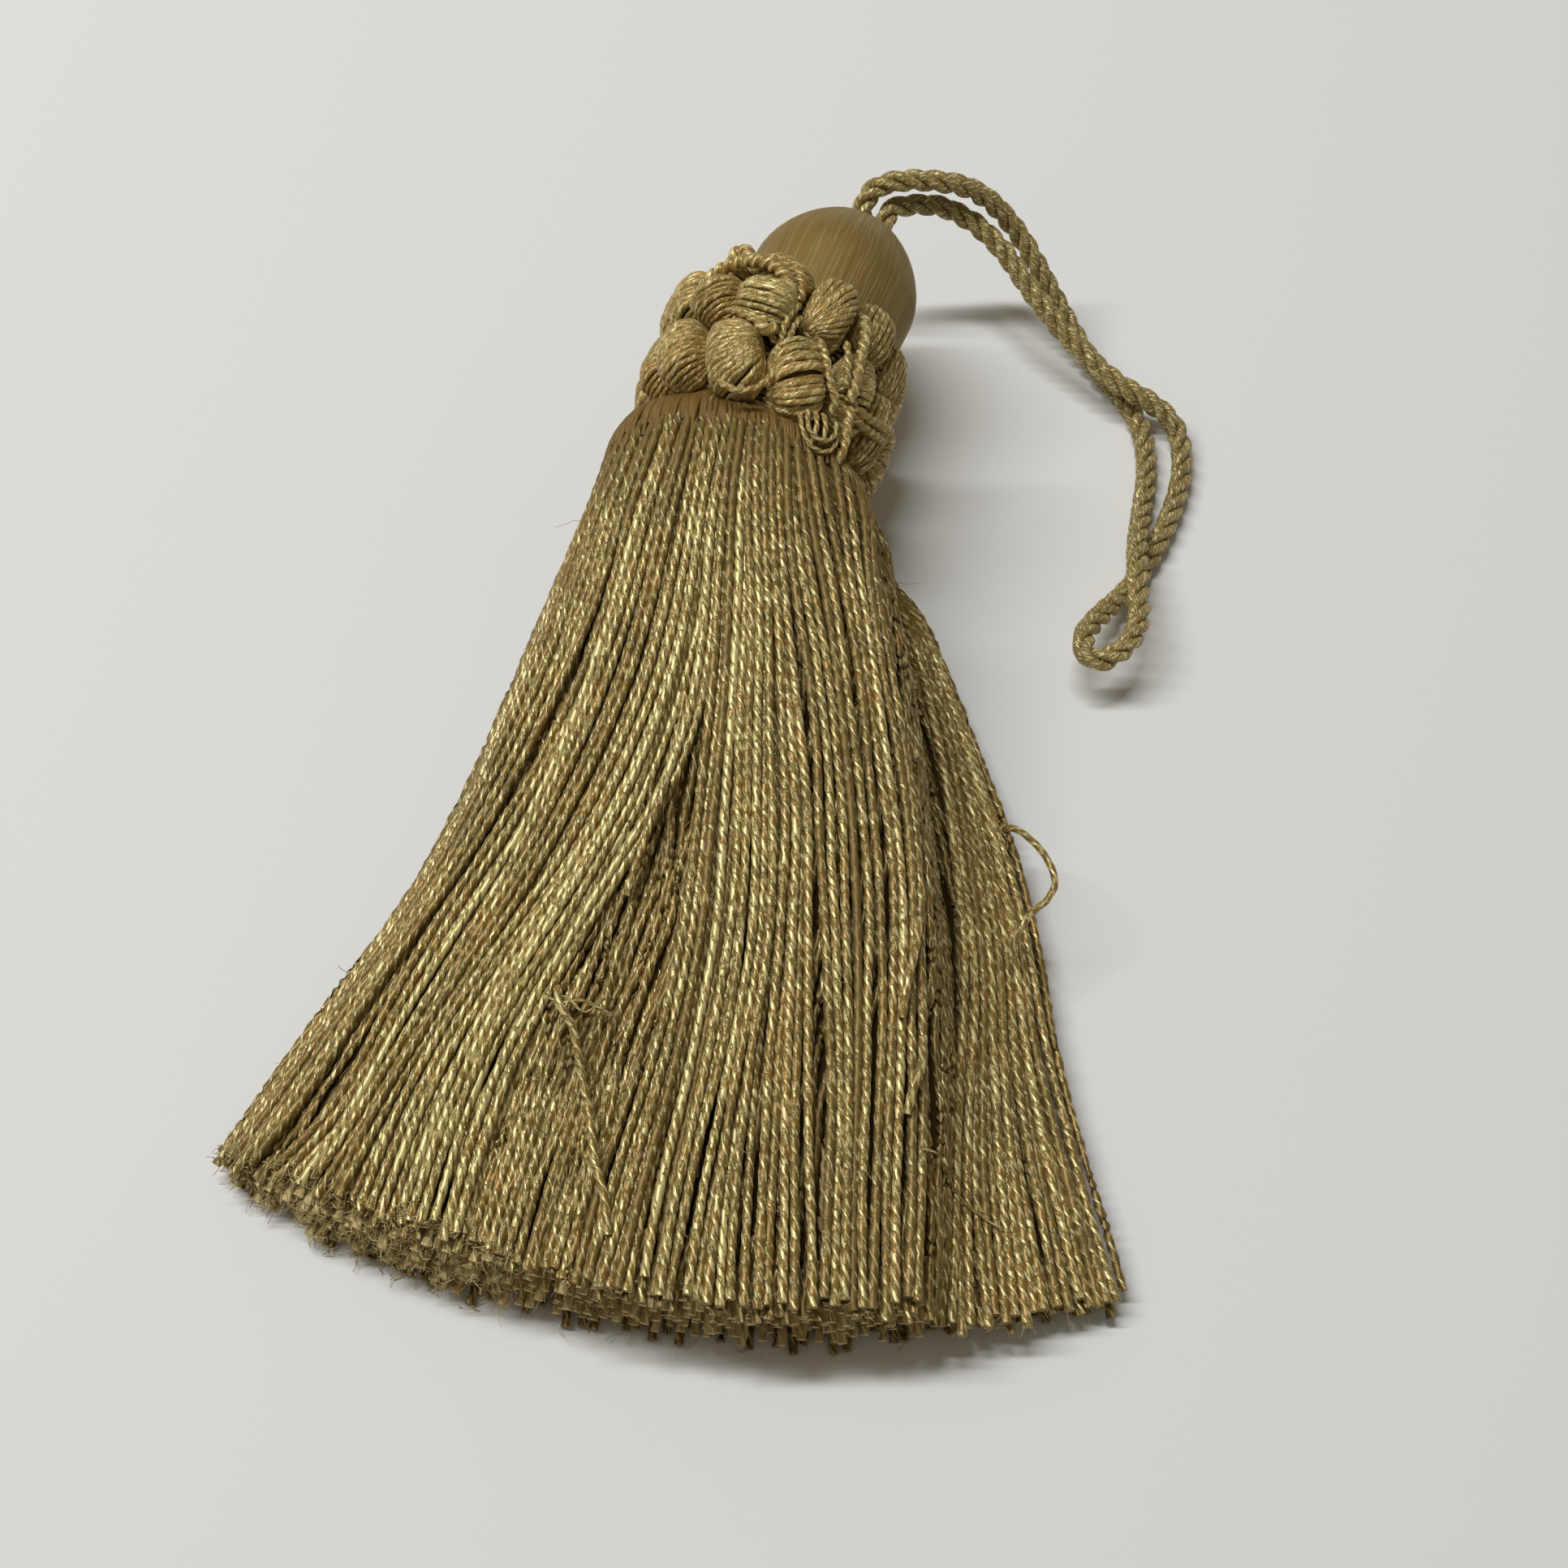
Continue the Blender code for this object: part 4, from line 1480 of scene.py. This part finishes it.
@dataclass
class SatinHead:
    """The turned core's satin wrap: fine threads side by side from the ruff up to the tip."""

    seed: int = 11
    foot: float = -2.7
    tip: float = 26.1
    foot_radius: float = 7.6
    dome_radius: float = 7.75
    waist: float = 12.6
    dome_start: float = 17.8
    fullness: float = 1.69
    threads: int = 250
    columns: int = 2
    rings: int = 38
    dome_rings: int = 26
    # each thread's ridge, its slow unevenness, and its drift to the side at a few stations
    relief: float = 0.03
    uneven: float = 0.02
    drift: float = 0.02
    stations: int = 5
    fade_in: float = 3.0
    tone_share: float = 0.15
    # painted light: the wrap is painted lighter near the ruff, a painted highlight on its lower part, than
    # at the tip
    light: tuple = ((2.0, 12.0, 24.0), (0.9, 0.4, -0.3))

    def _profile(self) -> np.ndarray:
        """Radius and place along the axis, from the foot to the tip."""
        turn = np.linspace(0, math.pi / 2, self.dome_rings)[::-1]
        radius = self.dome_radius * np.sin(turn) ** (2 / self.fullness)
        rise = (self.tip - self.dome_start) * np.cos(turn) ** (2 / self.fullness)
        below = np.linspace(self.foot, self.dome_start, self.rings - self.dome_rings, endpoint=False)
        share = np.clip((below - self.waist) / (self.dome_start - self.waist), 0, 1)
        straight = self.foot_radius + (self.dome_radius - self.foot_radius) * share
        return np.column_stack(
            (np.concatenate((straight, radius)), np.concatenate((below, self.dome_start + rise)))
        )

    def build(self, finish: bpy.types.Material) -> bpy.types.Object:
        """Makes the wrap as one closed skin with a ridge for each thread.

        Args:
            finish: The wrap's material.

        Returns:
            The head.
        """
        random = np.random.default_rng(self.seed)
        profile = self._profile()[:-1]
        around = self.threads * self.columns
        turn = np.linspace(0, math.tau, around, endpoint=False)
        ridge = np.tile(np.sin(np.arange(self.columns) / self.columns * math.pi), self.threads)
        level = np.repeat(random.normal(0, 1, (self.stations, self.threads)), self.columns, axis=1)
        stations = np.linspace(0, 1, self.stations)
        reach = np.linspace(0, 1, len(profile))
        slow = hermite_rows(stations, level, reach)
        drift = hermite_rows(stations, random.normal(0, self.drift, (self.stations, 1)), reach)
        light = np.interp(profile[:, 1], *self.light)
        fade = np.clip(profile[:, :1] / self.fade_in, 0, 1)
        radius = profile[:, :1] + (self.relief * (ridge - 1) + self.uneven * (slow - 1) * 0.5) * fade
        angle = turn[None] + drift
        rings = np.stack(
            (radius * np.cos(angle), radius * np.sin(angle), np.tile(profile[:, 1:], (1, around))), axis=2
        )
        count = len(rings)
        points = np.vstack((rings.reshape(-1, 3), (0, 0, self.foot), (0, 0, self.tip)))
        ring, side = np.meshgrid(np.arange(count - 1) * around, np.arange(around), indexing="ij")
        after = (side + 1) % around
        corners = (ring + side, ring + after, ring + around + after, ring + around + side)
        quads = np.stack(corners, axis=2).reshape(-1, 4)
        foot, tip, last = len(points) - 2, len(points) - 1, (count - 1) * around
        caps = [(foot, (at + 1) % around, at) for at in range(around)]
        caps += [(last + at, last + (at + 1) % around, tip) for at in range(around)]
        mesh = bpy.data.meshes.new("satin_head")
        mesh.from_pydata(points * MM, [], quads.tolist() + caps)
        mesh.polygons.foreach_set("use_smooth", np.ones(len(mesh.polygons), dtype=bool))
        numbers = {
            "along": np.append(np.tile(profile[:, 1:], (1, around)).ravel(), (self.foot, self.tip)) * MM,
            # the tone holds each thread's own tone and the painted light along the wrap
            "tone": np.append((level[:1] * self.tone_share + light[:, None]).ravel(), (0.0, 0.0)),
            "crest": np.append(np.tile(ridge, count), (1.0, 1.0)),
        }
        store_numbers(mesh, numbers)
        lay = np.zeros((len(points), 3), dtype=np.float32)
        lay[:-2, 0] = np.tile(np.cos(turn), count) * self.dome_radius
        lay[:-2, 1] = np.tile(np.sin(turn), count) * self.dome_radius
        mesh.attributes.new("round", "FLOAT_VECTOR", "POINT").data.foreach_set("vector", lay.ravel())
        mesh.transform(head_frame())
        mesh.materials.append(finish)
        mesh.update()
        piece = linked("satin_head", mesh)
        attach(piece, BODY)
        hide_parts("head")
        report(piece)
        return piece


@dataclass(frozen=True)
class Lobe:
    """One wound lobe: its place in the head's frame, its half sizes, and how it is wound."""

    along: float
    around: float
    out: float
    half_length: float
    half_width: float
    half_depth: float
    lean: float = 0.0
    slant: float = 10.0
    tone: float = 0.0
    cleft: tuple | None = None

    # no part of a lobe is farther from its middle; the search for its surface halves this
    FARTHEST = 12.0
    HALVINGS = 22

    def place(self) -> Matrix:
        """The lobe's frame in metres: X across, Y outwards, Z along it."""
        return (
            head_frame()
            @ Matrix.Rotation(math.radians(self.around), 4, "Z")
            @ Matrix.Translation(Vector((0.0, self.out, self.along)) * MM)
            @ Matrix.Rotation(math.radians(self.lean), 4, "Y")
        )

    def surface(self, directions: np.ndarray, inset: float, middles: np.ndarray | float = 0.0) -> np.ndarray:
        """Points of the lobe's surface.

        Args:
            directions: Unit directions.
            inset: How far in from the surface, in millimetres.
            middles: Points inside the lobe that they start from.

        Returns:
            The points in the lobe's own frame, in millimetres.
        """
        sizes = np.array((self.half_width, self.half_depth, self.half_length)) - inset
        low, high = np.zeros(len(directions)), np.full(len(directions), self.FARTHEST)
        for _ in range(self.HALVINGS):
            reach = (low + high) / 2
            points = middles + directions * reach[:, None]
            inside = (np.abs(points / sizes) ** LOBE_FULLNESS).sum(axis=1) < 1
            low, high = np.where(inside, reach, low), np.where(inside, high, reach)
        return middles + directions * low[:, None]

    def hinge(self) -> tuple[np.ndarray, np.ndarray]:
        """A place low inside the lobe, and the direction in which its turns draw together."""
        low = np.array((0.0, -HINGE_DEPTH * self.half_depth, 0.0))
        if self.cleft is None:
            slant = math.radians(self.slant)
            return low, np.array((math.cos(slant), 0.0, -math.sin(slant)))
        spot = around_head(*np.array([[value] for value in self.cleft]))[0]
        local = np.array(self.place().inverted() @ Vector(spot * MM)) / MM
        return low, unit(local - low)

    def settled(self, points: np.ndarray) -> np.ndarray:
        """Points of the lobe moved to their place on the head, never below the floor."""
        turned = np.array(self.place())
        moved = points @ turned[:3, :3].T + turned[:3, 3] / MM
        moved[:, 2] = np.maximum(moved[:, 2], WINDING_RADIUS)
        return moved


@dataclass(frozen=True)
class Gimp:
    """A length of gimp or cord over the ruff, by its places in the head's frame."""

    points: tuple
    thick: float = 1.0
    tone: float = 0.2


@dataclass
class Ruff:
    """Thread-wound lobes in two rows round the head's foot, with the gimp and cord between them."""

    seed: int = 5
    shown: tuple = (
        Lobe(2.5, -86.5, 10.0, 3.7, 1.9, 1.85, 6.0, 14.0),
        Lobe(1.8, -62.0, 10.05, 3.5, 1.8, 2.0, 12.0, 20.0, 0.2),
        Lobe(0.9, -37.5, 10.7, 3.2, 1.95, 2.4, 18.0, 22.0, 0.1),
        Lobe(0.6, -10.0, 10.8, 3.45, 2.25, 2.4, 24.0, 0.0, 0.4, (2.6, 5.0, 12.4)),
        Lobe(0.75, 18.5, 10.8, 3.45, 2.15, 2.4, 26.0, 12.0, 0.3),
        Lobe(3.0, 46.0, 9.9, 3.7, 1.85, 1.8, 8.0, 14.0, 0.0),
        Lobe(9.7, -84.0, 10.4, 2.9, 2.3, 2.3, 0.0, 14.0),
        Lobe(8.2, -57.0, 10.4, 2.7, 2.1, 2.2, 8.0, 24.0, 0.1),
        Lobe(6.4, -30.5, 11.0, 2.15, 2.1, 2.2, 0.0, 34.0, 0.3),
        Lobe(10.2, -31.5, 10.1, 1.3, 1.8, 1.6, 0.0, -30.0, 0.2),
        Lobe(6.1, -6.0, 11.9, 2.0, 2.4, 2.0, 0.0, -4.0, 0.3),
        Lobe(9.85, -6.3, 10.3, 1.3, 2.4, 1.9, 0.0, 16.0, 0.0),
        Lobe(8.3, 19.5, 10.2, 3.2, 1.92, 2.2, 0.0, 0.0, 0.3, (4.6, 10.5, 11.6)),
        Lobe(9.9, 45.2, 9.25, 2.4, 2.15, 1.3, 0.0, 84.0, -0.6),
    )
    low_row: Lobe = Lobe(2.5, 0.0, 10.3, 3.7, 2.02, 2.2)
    low_flatter: float = 0.8
    low_span: tuple = (71.0, 248.5, 8)
    high_row: Lobe = Lobe(9.2, 0.0, 9.9, 2.6, 2.2, 1.95)
    high_flatter: float = 1.05
    high_span: tuple = (74.0, 246.0, 7)
    # hidden lobes before this angle are wound across, like the last one that shows
    satin_side: float = 80.0
    side_slant: float = 84.0
    slant: float = 14.0
    hidden_tone: float = -0.3
    padding_inset: float = 0.3
    # the winding: pitch, points to a turn, how far its half-planes fan, and its unevenness
    winding_pitch: float = 0.54
    turn_points: int = 20
    fan: float = 118.0
    fan_planes: int = 121
    # the places where each half-plane's section is looked for: first, last and how many
    search_out: tuple = (0.05, 7.5, 70)
    search_across: tuple = (-4.5, 4.5, 50)
    loose_shift: float = 0.2
    loose_swell: float = 0.015
    loose_noise: float = 0.006
    loose_tone: float = 0.6
    loose_thick: float = 0.1
    # the band of thread under the lobes: first and last place along, distance out, and pitch
    bed: tuple = (-1.8, 11.3, 9.3, 0.6)
    bed_points: int = 36
    bed_uneven: float = 0.04
    # painted shade: the band under the lobes is toned dark
    bed_tone: float = -1.2
    bed_thick: float = 1.1
    gimp_end: float = 0.7
    # loose gimp and cord: places along, around and out from the head's axis, and thickness
    gimps: tuple = (
        # an outer thread over the middle lobe, and two that turn round its lower end
        Gimp(
            (
                (4.6, -20.0, 12.2), (4.1, -14.0, 12.8), (3.6, -7.0, 12.9), (3.0, 0.0, 12.7),
                (2.5, 5.0, 12.2),
            ),
            1.05, 0.3,
        ),
        Gimp(
            (
                (-2.6, -9.5, 12.2), (-3.3, -5.5, 12.7), (-3.5, 0.0, 12.8), (-2.9, 5.0, 12.7),
                (-1.6, 8.2, 12.5), (0.2, 9.2, 12.1),
            ),
            1.05, 0.5,
        ),
        # the twist between the lower lobes at the right
        Gimp(
            (
                (4.4, 20.0, 12.2), (3.0, 24.5, 12.7), (1.9, 27.6, 12.8), (0.9, 31.4, 12.7),
                (0.1, 35.4, 12.5), (-0.9, 37.0, 12.0),
            ),
            1.3,
        ),
        # the rope down the right-hand lobes
        Gimp(
            (
                (9.3, 33.0, 11.6), (8.1, 35.1, 12.0), (6.4, 37.2, 12.1), (4.6, 38.8, 12.2),
                (2.9, 41.0, 12.2), (1.2, 42.0, 12.0),
            ),
            1.7, 0.5,
        ),
        Gimp(((6.0, 30.5, 11.7), (4.9, 33.0, 12.0), (3.5, 35.5, 12.1), (2.0, 38.5, 12.0)), 1.2, 0.2),
        # the gimp that hangs under the right-hand lobes
        Gimp(
            (
                (0.6, 42.6, 12.3), (-0.4, 43.8, 12.5), (-1.4, 45.3, 12.5), (-2.4, 47.3, 12.4),
                (-3.5, 48.7, 12.2), (-4.3, 49.2, 11.7),
            ),
            1.35, 0.9,
        ),
        # loose loops
        Gimp(
            (
                (-1.2, 27.5, 11.8), (-2.4, 28.0, 12.4), (-3.6, 30.4, 12.6), (-4.0, 34.6, 12.6),
                (-3.6, 39.2, 12.6), (-2.5, 41.3, 12.5), (-1.2, 40.6, 12.0),
            ),
            0.75, 0.8,
        ),
        Gimp(
            (
                (-2.2, 25.6, 11.7), (-3.4, 27.0, 12.3), (-4.5, 31.0, 12.5), (-4.9, 36.2, 12.5),
                (-4.3, 41.6, 12.4), (-3.1, 43.8, 12.3), (-1.9, 43.2, 12.0),
            ),
            0.7, 0.8,
        ),
        Gimp(((-1.6, 30.8, 12.0), (-2.5, 31.8, 12.6), (-3.4, 33.4, 12.6), (-4.3, 35.0, 12.1)), 0.8, 0.8),
        Gimp(((-1.4, 34.0, 12.0), (-2.1, 34.9, 12.6), (-3.0, 37.0, 12.6), (-3.9, 39.0, 12.1)), 0.8, 0.8),
        # the rope that arches over the rosette
        Gimp(
            (
                (5.6, -43.0, 11.6), (7.0, -39.5, 12.2), (8.1, -34.6, 12.6), (8.9, -28.4, 12.8),
                (9.5, -22.4, 12.8), (9.7, -15.6, 12.8), (9.5, -8.6, 12.8), (8.8, -3.0, 12.7),
                (7.6, 0.8, 12.5), (6.2, 2.6, 12.2), (5.0, 3.0, 11.6),
            ),
            2.3, 0.3,
        ),
        Gimp(
            (
                (10.2, -20.0, 11.6), (10.9, -14.0, 11.9), (11.0, -7.0, 11.9), (10.3, -1.0, 11.9),
                (9.0, 3.6, 11.8), (7.6, 5.6, 11.6),
            ),
            1.6, 0.3,
        ),
        # the small bead under the rosette, and the knob beside it
        Gimp(
            (
                (3.5, -2.6, 12.9), (2.9, -1.8, 13.5), (2.4, 0.0, 13.6), (2.8, 2.0, 13.4),
                (3.4, 2.6, 12.8),
            ),
            1.9, 0.7,
        ),
        Gimp(
            (
                (10.6, -36.0, 11.0), (11.5, -34.5, 11.6), (12.1, -31.5, 11.5), (11.8, -28.0, 11.3),
                (10.9, -26.5, 11.0),
            ),
            2.2, 0.4,
        ),
        # threads that draw together between the lobes
        Gimp(
            (
                (7.0, 6.5, 12.0), (5.4, 5.2, 12.5), (4.0, 5.6, 12.5), (2.6, 6.6, 12.4),
                (1.2, 8.4, 12.1),
            ),
            1.2, 0.1,
        ),
        Gimp(((5.9, 9.0, 11.9), (4.4, 8.8, 12.4), (3.0, 9.2, 12.4), (1.6, 10.4, 12.2)), 1.0, 0.1),
        # the band drawn aslant under the right-hand lobes
        Gimp(
            (
                (1.5, 43.0, 11.6), (1.4, 50.0, 11.7), (1.9, 58.0, 11.6), (2.8, 67.0, 11.3),
                (4.1, 78.0, 10.8),
            ),
            1.6, -0.8,
        ),
        Gimp(
            (
                (0.6, 45.0, 11.6), (0.5, 52.0, 11.7), (1.0, 60.0, 11.6), (1.8, 69.0, 11.3),
                (3.0, 79.0, 10.8),
            ),
            1.5, -0.8,
        ),
    )

    def _hidden(self) -> list[Lobe]:
        """The lobes round the sides and underneath, row by row."""
        lobes = []
        for rule, most, (first, last, count) in (
            (self.low_row, self.low_flatter, self.low_span),
            (self.high_row, self.high_flatter, self.high_span),
        ):
            for around in np.linspace(first, last, count):
                flatter = most * abs(math.sin(math.radians(around)))
                out = rule.out - flatter
                lobe = replace(
                    rule,
                    around=float(around),
                    out=out,
                    half_width=rule.half_width * out / rule.out,
                    half_depth=rule.half_depth - flatter,
                    slant=self.side_slant if around < self.satin_side else self.slant,
                    tone=self.hidden_tone,
                )
                lobes.append(lobe)
        return lobes

    def _winding(self, lobe: Lobe, random: np.random.Generator) -> Thread:
        """The thread wound round one lobe from end to end.

        Args:
            lobe: The lobe.
            random: Source of the winding's unevenness.

        Returns:
            The thread.
        """
        inset = WINDING_INSET - LOBE_PROUD
        sizes = np.array((lobe.half_width, lobe.half_depth, lobe.half_length)) - inset
        low, way = lobe.hinge()
        over = unit(-low + way * way.dot(low))
        side = np.cross(way, over)
        # half-planes about the hinge, and the middle of the lobe's section in each
        fan = np.radians(np.linspace(-self.fan, self.fan, self.fan_planes))
        outward = np.cos(fan)[:, None] * over + np.sin(fan)[:, None] * side
        reach, across = np.meshgrid(np.linspace(*self.search_out), np.linspace(*self.search_across))
        grid = low + outward[:, None, None] * reach[None, ..., None] + way * across[None, ..., None]
        inside = (np.abs(grid / sizes) ** LOBE_FULLNESS).sum(axis=3) < 1
        count_in = np.maximum(inside.sum(axis=(1, 2)), 1)[:, None]
        middles = (grid * inside[..., None]).sum(axis=(1, 2)) / count_in
        edge = lobe.surface(outward, inset, middles)
        run = run_along(edge)
        turns = run[-1] / self.winding_pitch
        knots = int(turns) + 3
        count = int(turns * self.turn_points)
        share = np.linspace(0, 1, count)
        loose = np.interp(share * turns, np.arange(knots), random.normal(0, 1, knots))
        rows = np.arange(len(run))
        at = np.interp(np.clip(share + loose * self.loose_shift / turns, 0, 1) * run[-1], run, rows)
        plane = np.interp(at, rows, fan)[:, None]
        start = read_line(middles, at, rows)
        out = np.cos(plane) * over + np.sin(plane) * side
        turn = (share * turns * math.tau + random.uniform(0, math.tau))[:, None]
        points = lobe.surface(np.cos(turn) * way + np.sin(turn) * out, inset, start)
        points *= 1 + self.loose_swell * loose[:, None] + random.normal(0, self.loose_noise, (count, 1))
        tone = lobe.tone + self.loose_tone * loose + random.normal(0, 0.2)
        thick = 1.0 + self.loose_thick * loose
        return Thread(lobe.settled(points), thick, float(random.uniform(0, math.tau)), tone)

    def _bed(self, random: np.random.Generator) -> Thread:
        """The band of thread round the head that the lobes are sewn on.

        Args:
            random: Source of its unevenness.

        Returns:
            The thread.
        """
        first, last, out, pitch = self.bed
        turns = (last - first) / pitch
        share = np.linspace(0, 1, int(turns * self.bed_points))
        level = out + random.normal(0, self.bed_uneven, len(share))
        points = around_head(first + (last - first) * share, share * turns * 360, level)
        tone = self.bed_tone + random.normal(0, 0.4, len(share))
        return Thread(points, self.bed_thick, 0.0, tone)

    def _gimp_threads(self, random: np.random.Generator) -> list[Thread]:
        """The gimp, ropes and loops between the lobes.

        Args:
            random: Source of their turns.

        Returns:
            The threads.
        """
        threads = []
        for gimp in self.gimps:
            line = smooth_route(around_head(*np.array(gimp.points).T), 6 * len(gimp.points))
            thick = np.full(len(line), gimp.thick)
            thick[[0, -1]] *= self.gimp_end
            threads.append(Thread(line, thick, float(random.uniform(0, math.tau)), gimp.tone))
        return threads

    def _padding(self, lobes: list[Lobe], finish: bpy.types.Material) -> bpy.types.Object:
        """The bodies under the windings, dark with painted shade.

        Args:
            lobes: The lobes.
            finish: The padding's material.

        Returns:
            One piece with a closed body for each lobe.
        """
        whole = bmesh.new()
        for lobe in lobes:
            fresh = bmesh.ops.create_uvsphere(whole, u_segments=14, v_segments=9, radius=1.0)["verts"]
            points = lobe.surface(np.array([vertex.co.normalized() for vertex in fresh]), self.padding_inset)
            for vertex, point in zip(fresh, lobe.settled(points)):
                vertex.co = Vector(point) * MM
        bmesh.ops.recalc_face_normals(whole, faces=whole.faces)
        mesh = bpy.data.meshes.new("ruff_padding")
        whole.to_mesh(mesh)
        whole.free()
        mesh.materials.append(finish)
        return linked("ruff_padding", mesh)

    def build(self, spinner: Spinner, finish: bpy.types.Material, dark: bpy.types.Material) -> None:
        """Winds every lobe.

        Args:
            spinner: The yarn spinner.
            finish: The winding thread's material.
            dark: The padding's material.
        """
        random = np.random.default_rng(self.seed)
        lobes = [*self.shown, *self._hidden()]
        fine = Spin(WINDING_RADIUS, 2, -3.2, 6, 0.41, waist=0.82)
        coarse = Spin(WINDING_RADIUS, 2, -3.2, 6, 0.7, waist=0.85)
        rope = Spin(WINDING_RADIUS, 2, -1.9, 10, 0.22, waist=0.6)
        below = Spin(WINDING_RADIUS, 2, -1.9, 6, 1.0, waist=0.8)
        for number, lobe in enumerate(lobes, start=1):
            name = f"ruff_lobe_{number:02d}"
            spin = fine if number <= len(self.shown) else coarse
            piece = spinner.spin(f"wound_lobe_{number:02d}", [self._winding(lobe, random)], spin, finish)
            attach(piece, BODY)
            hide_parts(name)
            report(piece)
        between = [
            spinner.spin("ruff_gimp", self._gimp_threads(random), rope, finish),
            spinner.spin("ruff_bed", [self._bed(random)], below, finish),
            self._padding(lobes, dark),
        ]
        for piece in between:
            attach(piece, BODY)
            report(piece)


@dataclass
class Studio:
    """Plain pale floor, soft light nearly overhead, and the camera."""

    # in millimetres
    target: tuple = (9.25, -1.0, 0.0)
    camera_at: tuple = (9.25, -102.5, 175.8)
    lens: float = 54.04
    sensor: float = 36.0
    # in watts and metres
    light_power: float = 12.8
    light_size: tuple = (1.2, 0.09)
    light_at: tuple = (-0.55, 0.23, 1.1)
    floor_side: float = 1.5
    clip: tuple = (0.01, 20.0)
    sky: str = "FFF4DD"
    sky_strength: float = 0.185

    def build(self) -> None:
        """Places the camera, the lights and the floor."""
        scene = bpy.context.scene
        camera = bpy.data.objects.new("camera", bpy.data.cameras.new("camera"))
        camera.data.lens = self.lens
        camera.data.sensor_width = self.sensor
        camera.data.clip_start, camera.data.clip_end = self.clip
        camera.location = Vector(self.camera_at) * MM
        look = (Vector(self.target) - Vector(self.camera_at)).normalized()
        camera.rotation_euler = look.to_track_quat("-Z", "Y").to_euler()
        scene.collection.objects.link(camera)
        scene.camera = camera

        lamp = bpy.data.lights.new("softbox", "AREA")
        lamp.shape = "RECTANGLE"
        lamp.size, lamp.size_y = self.light_size
        lamp.energy = self.light_power
        softbox = bpy.data.objects.new("softbox", lamp)
        softbox.location = self.light_at
        scene.collection.objects.link(softbox)

        world = bpy.data.worlds.new("soft_room")
        world.use_nodes = True
        background = world.node_tree.nodes["Background"]
        background.inputs["Color"].default_value = linear(self.sky)
        background.inputs["Strength"].default_value = self.sky_strength
        scene.world = world
        scene.view_settings.view_transform = "Standard"

        mesh = bpy.data.meshes.new("floor")
        side = self.floor_side
        corners = [(-side, -side, 0), (side, -side, 0), (side, side, 0), (-side, side, 0)]
        mesh.from_pydata(corners, [], [(0, 1, 2, 3)])
        mesh.materials.append(PaperFinish().material())
        linked("floor", mesh)


# Spun yarn of the skirt: glossy, with cream glints on every turn of its plies, partly painted highlight, and
# painted shade in the grooves between them.
YARN = SilkFinish("plied_silk_yarn")
# Fine thread wound on the lobes: paler, with close short glints that give a soft glow, partly painted
# highlight, and faint painted shade between its plies.
WINDING = SilkFinish(
    "winding_thread",
    gold="C2A863",
    amber="B98E4C",
    brown="8A7139",
    groove="4A3C1C",
    thread_radius=0.3,
    streak_length=0.6,
    streak_height=0.12,
    streak_light=0.6,
    crest_light=0.2,
    depth=0.25,
)
# Waste silk under the windings, dull and brown: its darkness is painted shade, which gives only depth
# between the turns.
PADDING = SilkFinish(
    "silk_padding",
    gold="7A6433",
    amber="725A30",
    brown="5C4A24",
    roughness=0.8,
    specular=0.1,
    metal=0.0,
    streak_light=0.1,
)
# Thread pressed flat round the neck: smooth long filaments with a low satin gloss and faint painted glints.
PRESSED = SilkFinish(
    "pressed_silk",
    gold="AE9150",
    amber="A07C3A",
    brown="785C2B",
    roughness=0.42,
    specular=0.6,
    metal=0.1,
    streak_length=2.0,
    streak_height=0.08,
    streak_light=0.5,
    crest_light=0.2,
    depth=0.25,
)
# Yarn deep in the skirt: painted dark brown as the shade inside it, with no gloss at all, so partings look
# brown and not black.
CORE = SilkFinish(
    "silk_core",
    gold="5A4722",
    amber="52401E",
    brown="40321A",
    roughness=0.9,
    specular=0.0,
    metal=0.0,
    sheen=0.0,
    streak_light=0.0,
)
# Cut ends and teased fibres: pale and matt, with sheen that gives a soft felted edge; the pale colour is
# partly the fibres' own and partly painted light on the shaded cut.
CUT = SilkFinish(
    "cut_silk",
    gold="E8D298",
    amber="DDBC84",
    brown="C0A46C",
    groove="96804C",
    roughness=0.6,
    specular=0.4,
    metal=0.0,
    sheen=0.5,
    streak_light=0.5,
    depth=0.3,
)
# Satin wrap of the head: threads laid side by side, which give an even, olive half-gloss, with faint painted
# glints along them and painted shade between them.
SATIN = SilkFinish(
    "satin_wrap",
    gold="957F4A",
    amber="8D733E",
    brown="7A6434",
    roughness=0.45,
    specular=0.5,
    metal=0.1,
    streak_width=0.09,
    streak_length=5.0,
    streak_height=0.02,
    streak_light=0.1,
    crest_light=0.05,
    depth=0.2,
)
# Hard-twisted cord: glossy, with fine glints that run round with its plies, partly painted highlight.
CORD = SilkFinish(
    "plied_silk_cord",
    gold="B09A5C",
    amber="A1844A",
    brown="7C6538",
    thread_radius=0.5,
    roughness=0.38,
    specular=0.9,
    metal=0.15,
    streak_width=0.22,
    streak_length=0.5,
    streak_height=0.2,
    streak_light=0.75,
    crest_light=0.0,
    depth=0.1,
)


def main() -> None:
    """Builds the tassel's looks and the studio, in order."""
    logging.basicConfig(level=logging.INFO, format="%(name)s: %(message)s")
    Studio().build()
    spinner = Spinner()
    finishes = (YARN, WINDING, PADDING, PRESSED, CORE, CUT, SATIN, CORD)
    yarn, winding, padding, pressed, core, cut, satin, cord = (finish.material() for finish in finishes)
    LoopCord().build(spinner, cord)
    Skirt().build(spinner, yarn, pressed, cut, core)
    SatinHead().build(satin)
    Ruff().build(spinner, winding, padding)


if __name__ == "__main__":
    main()
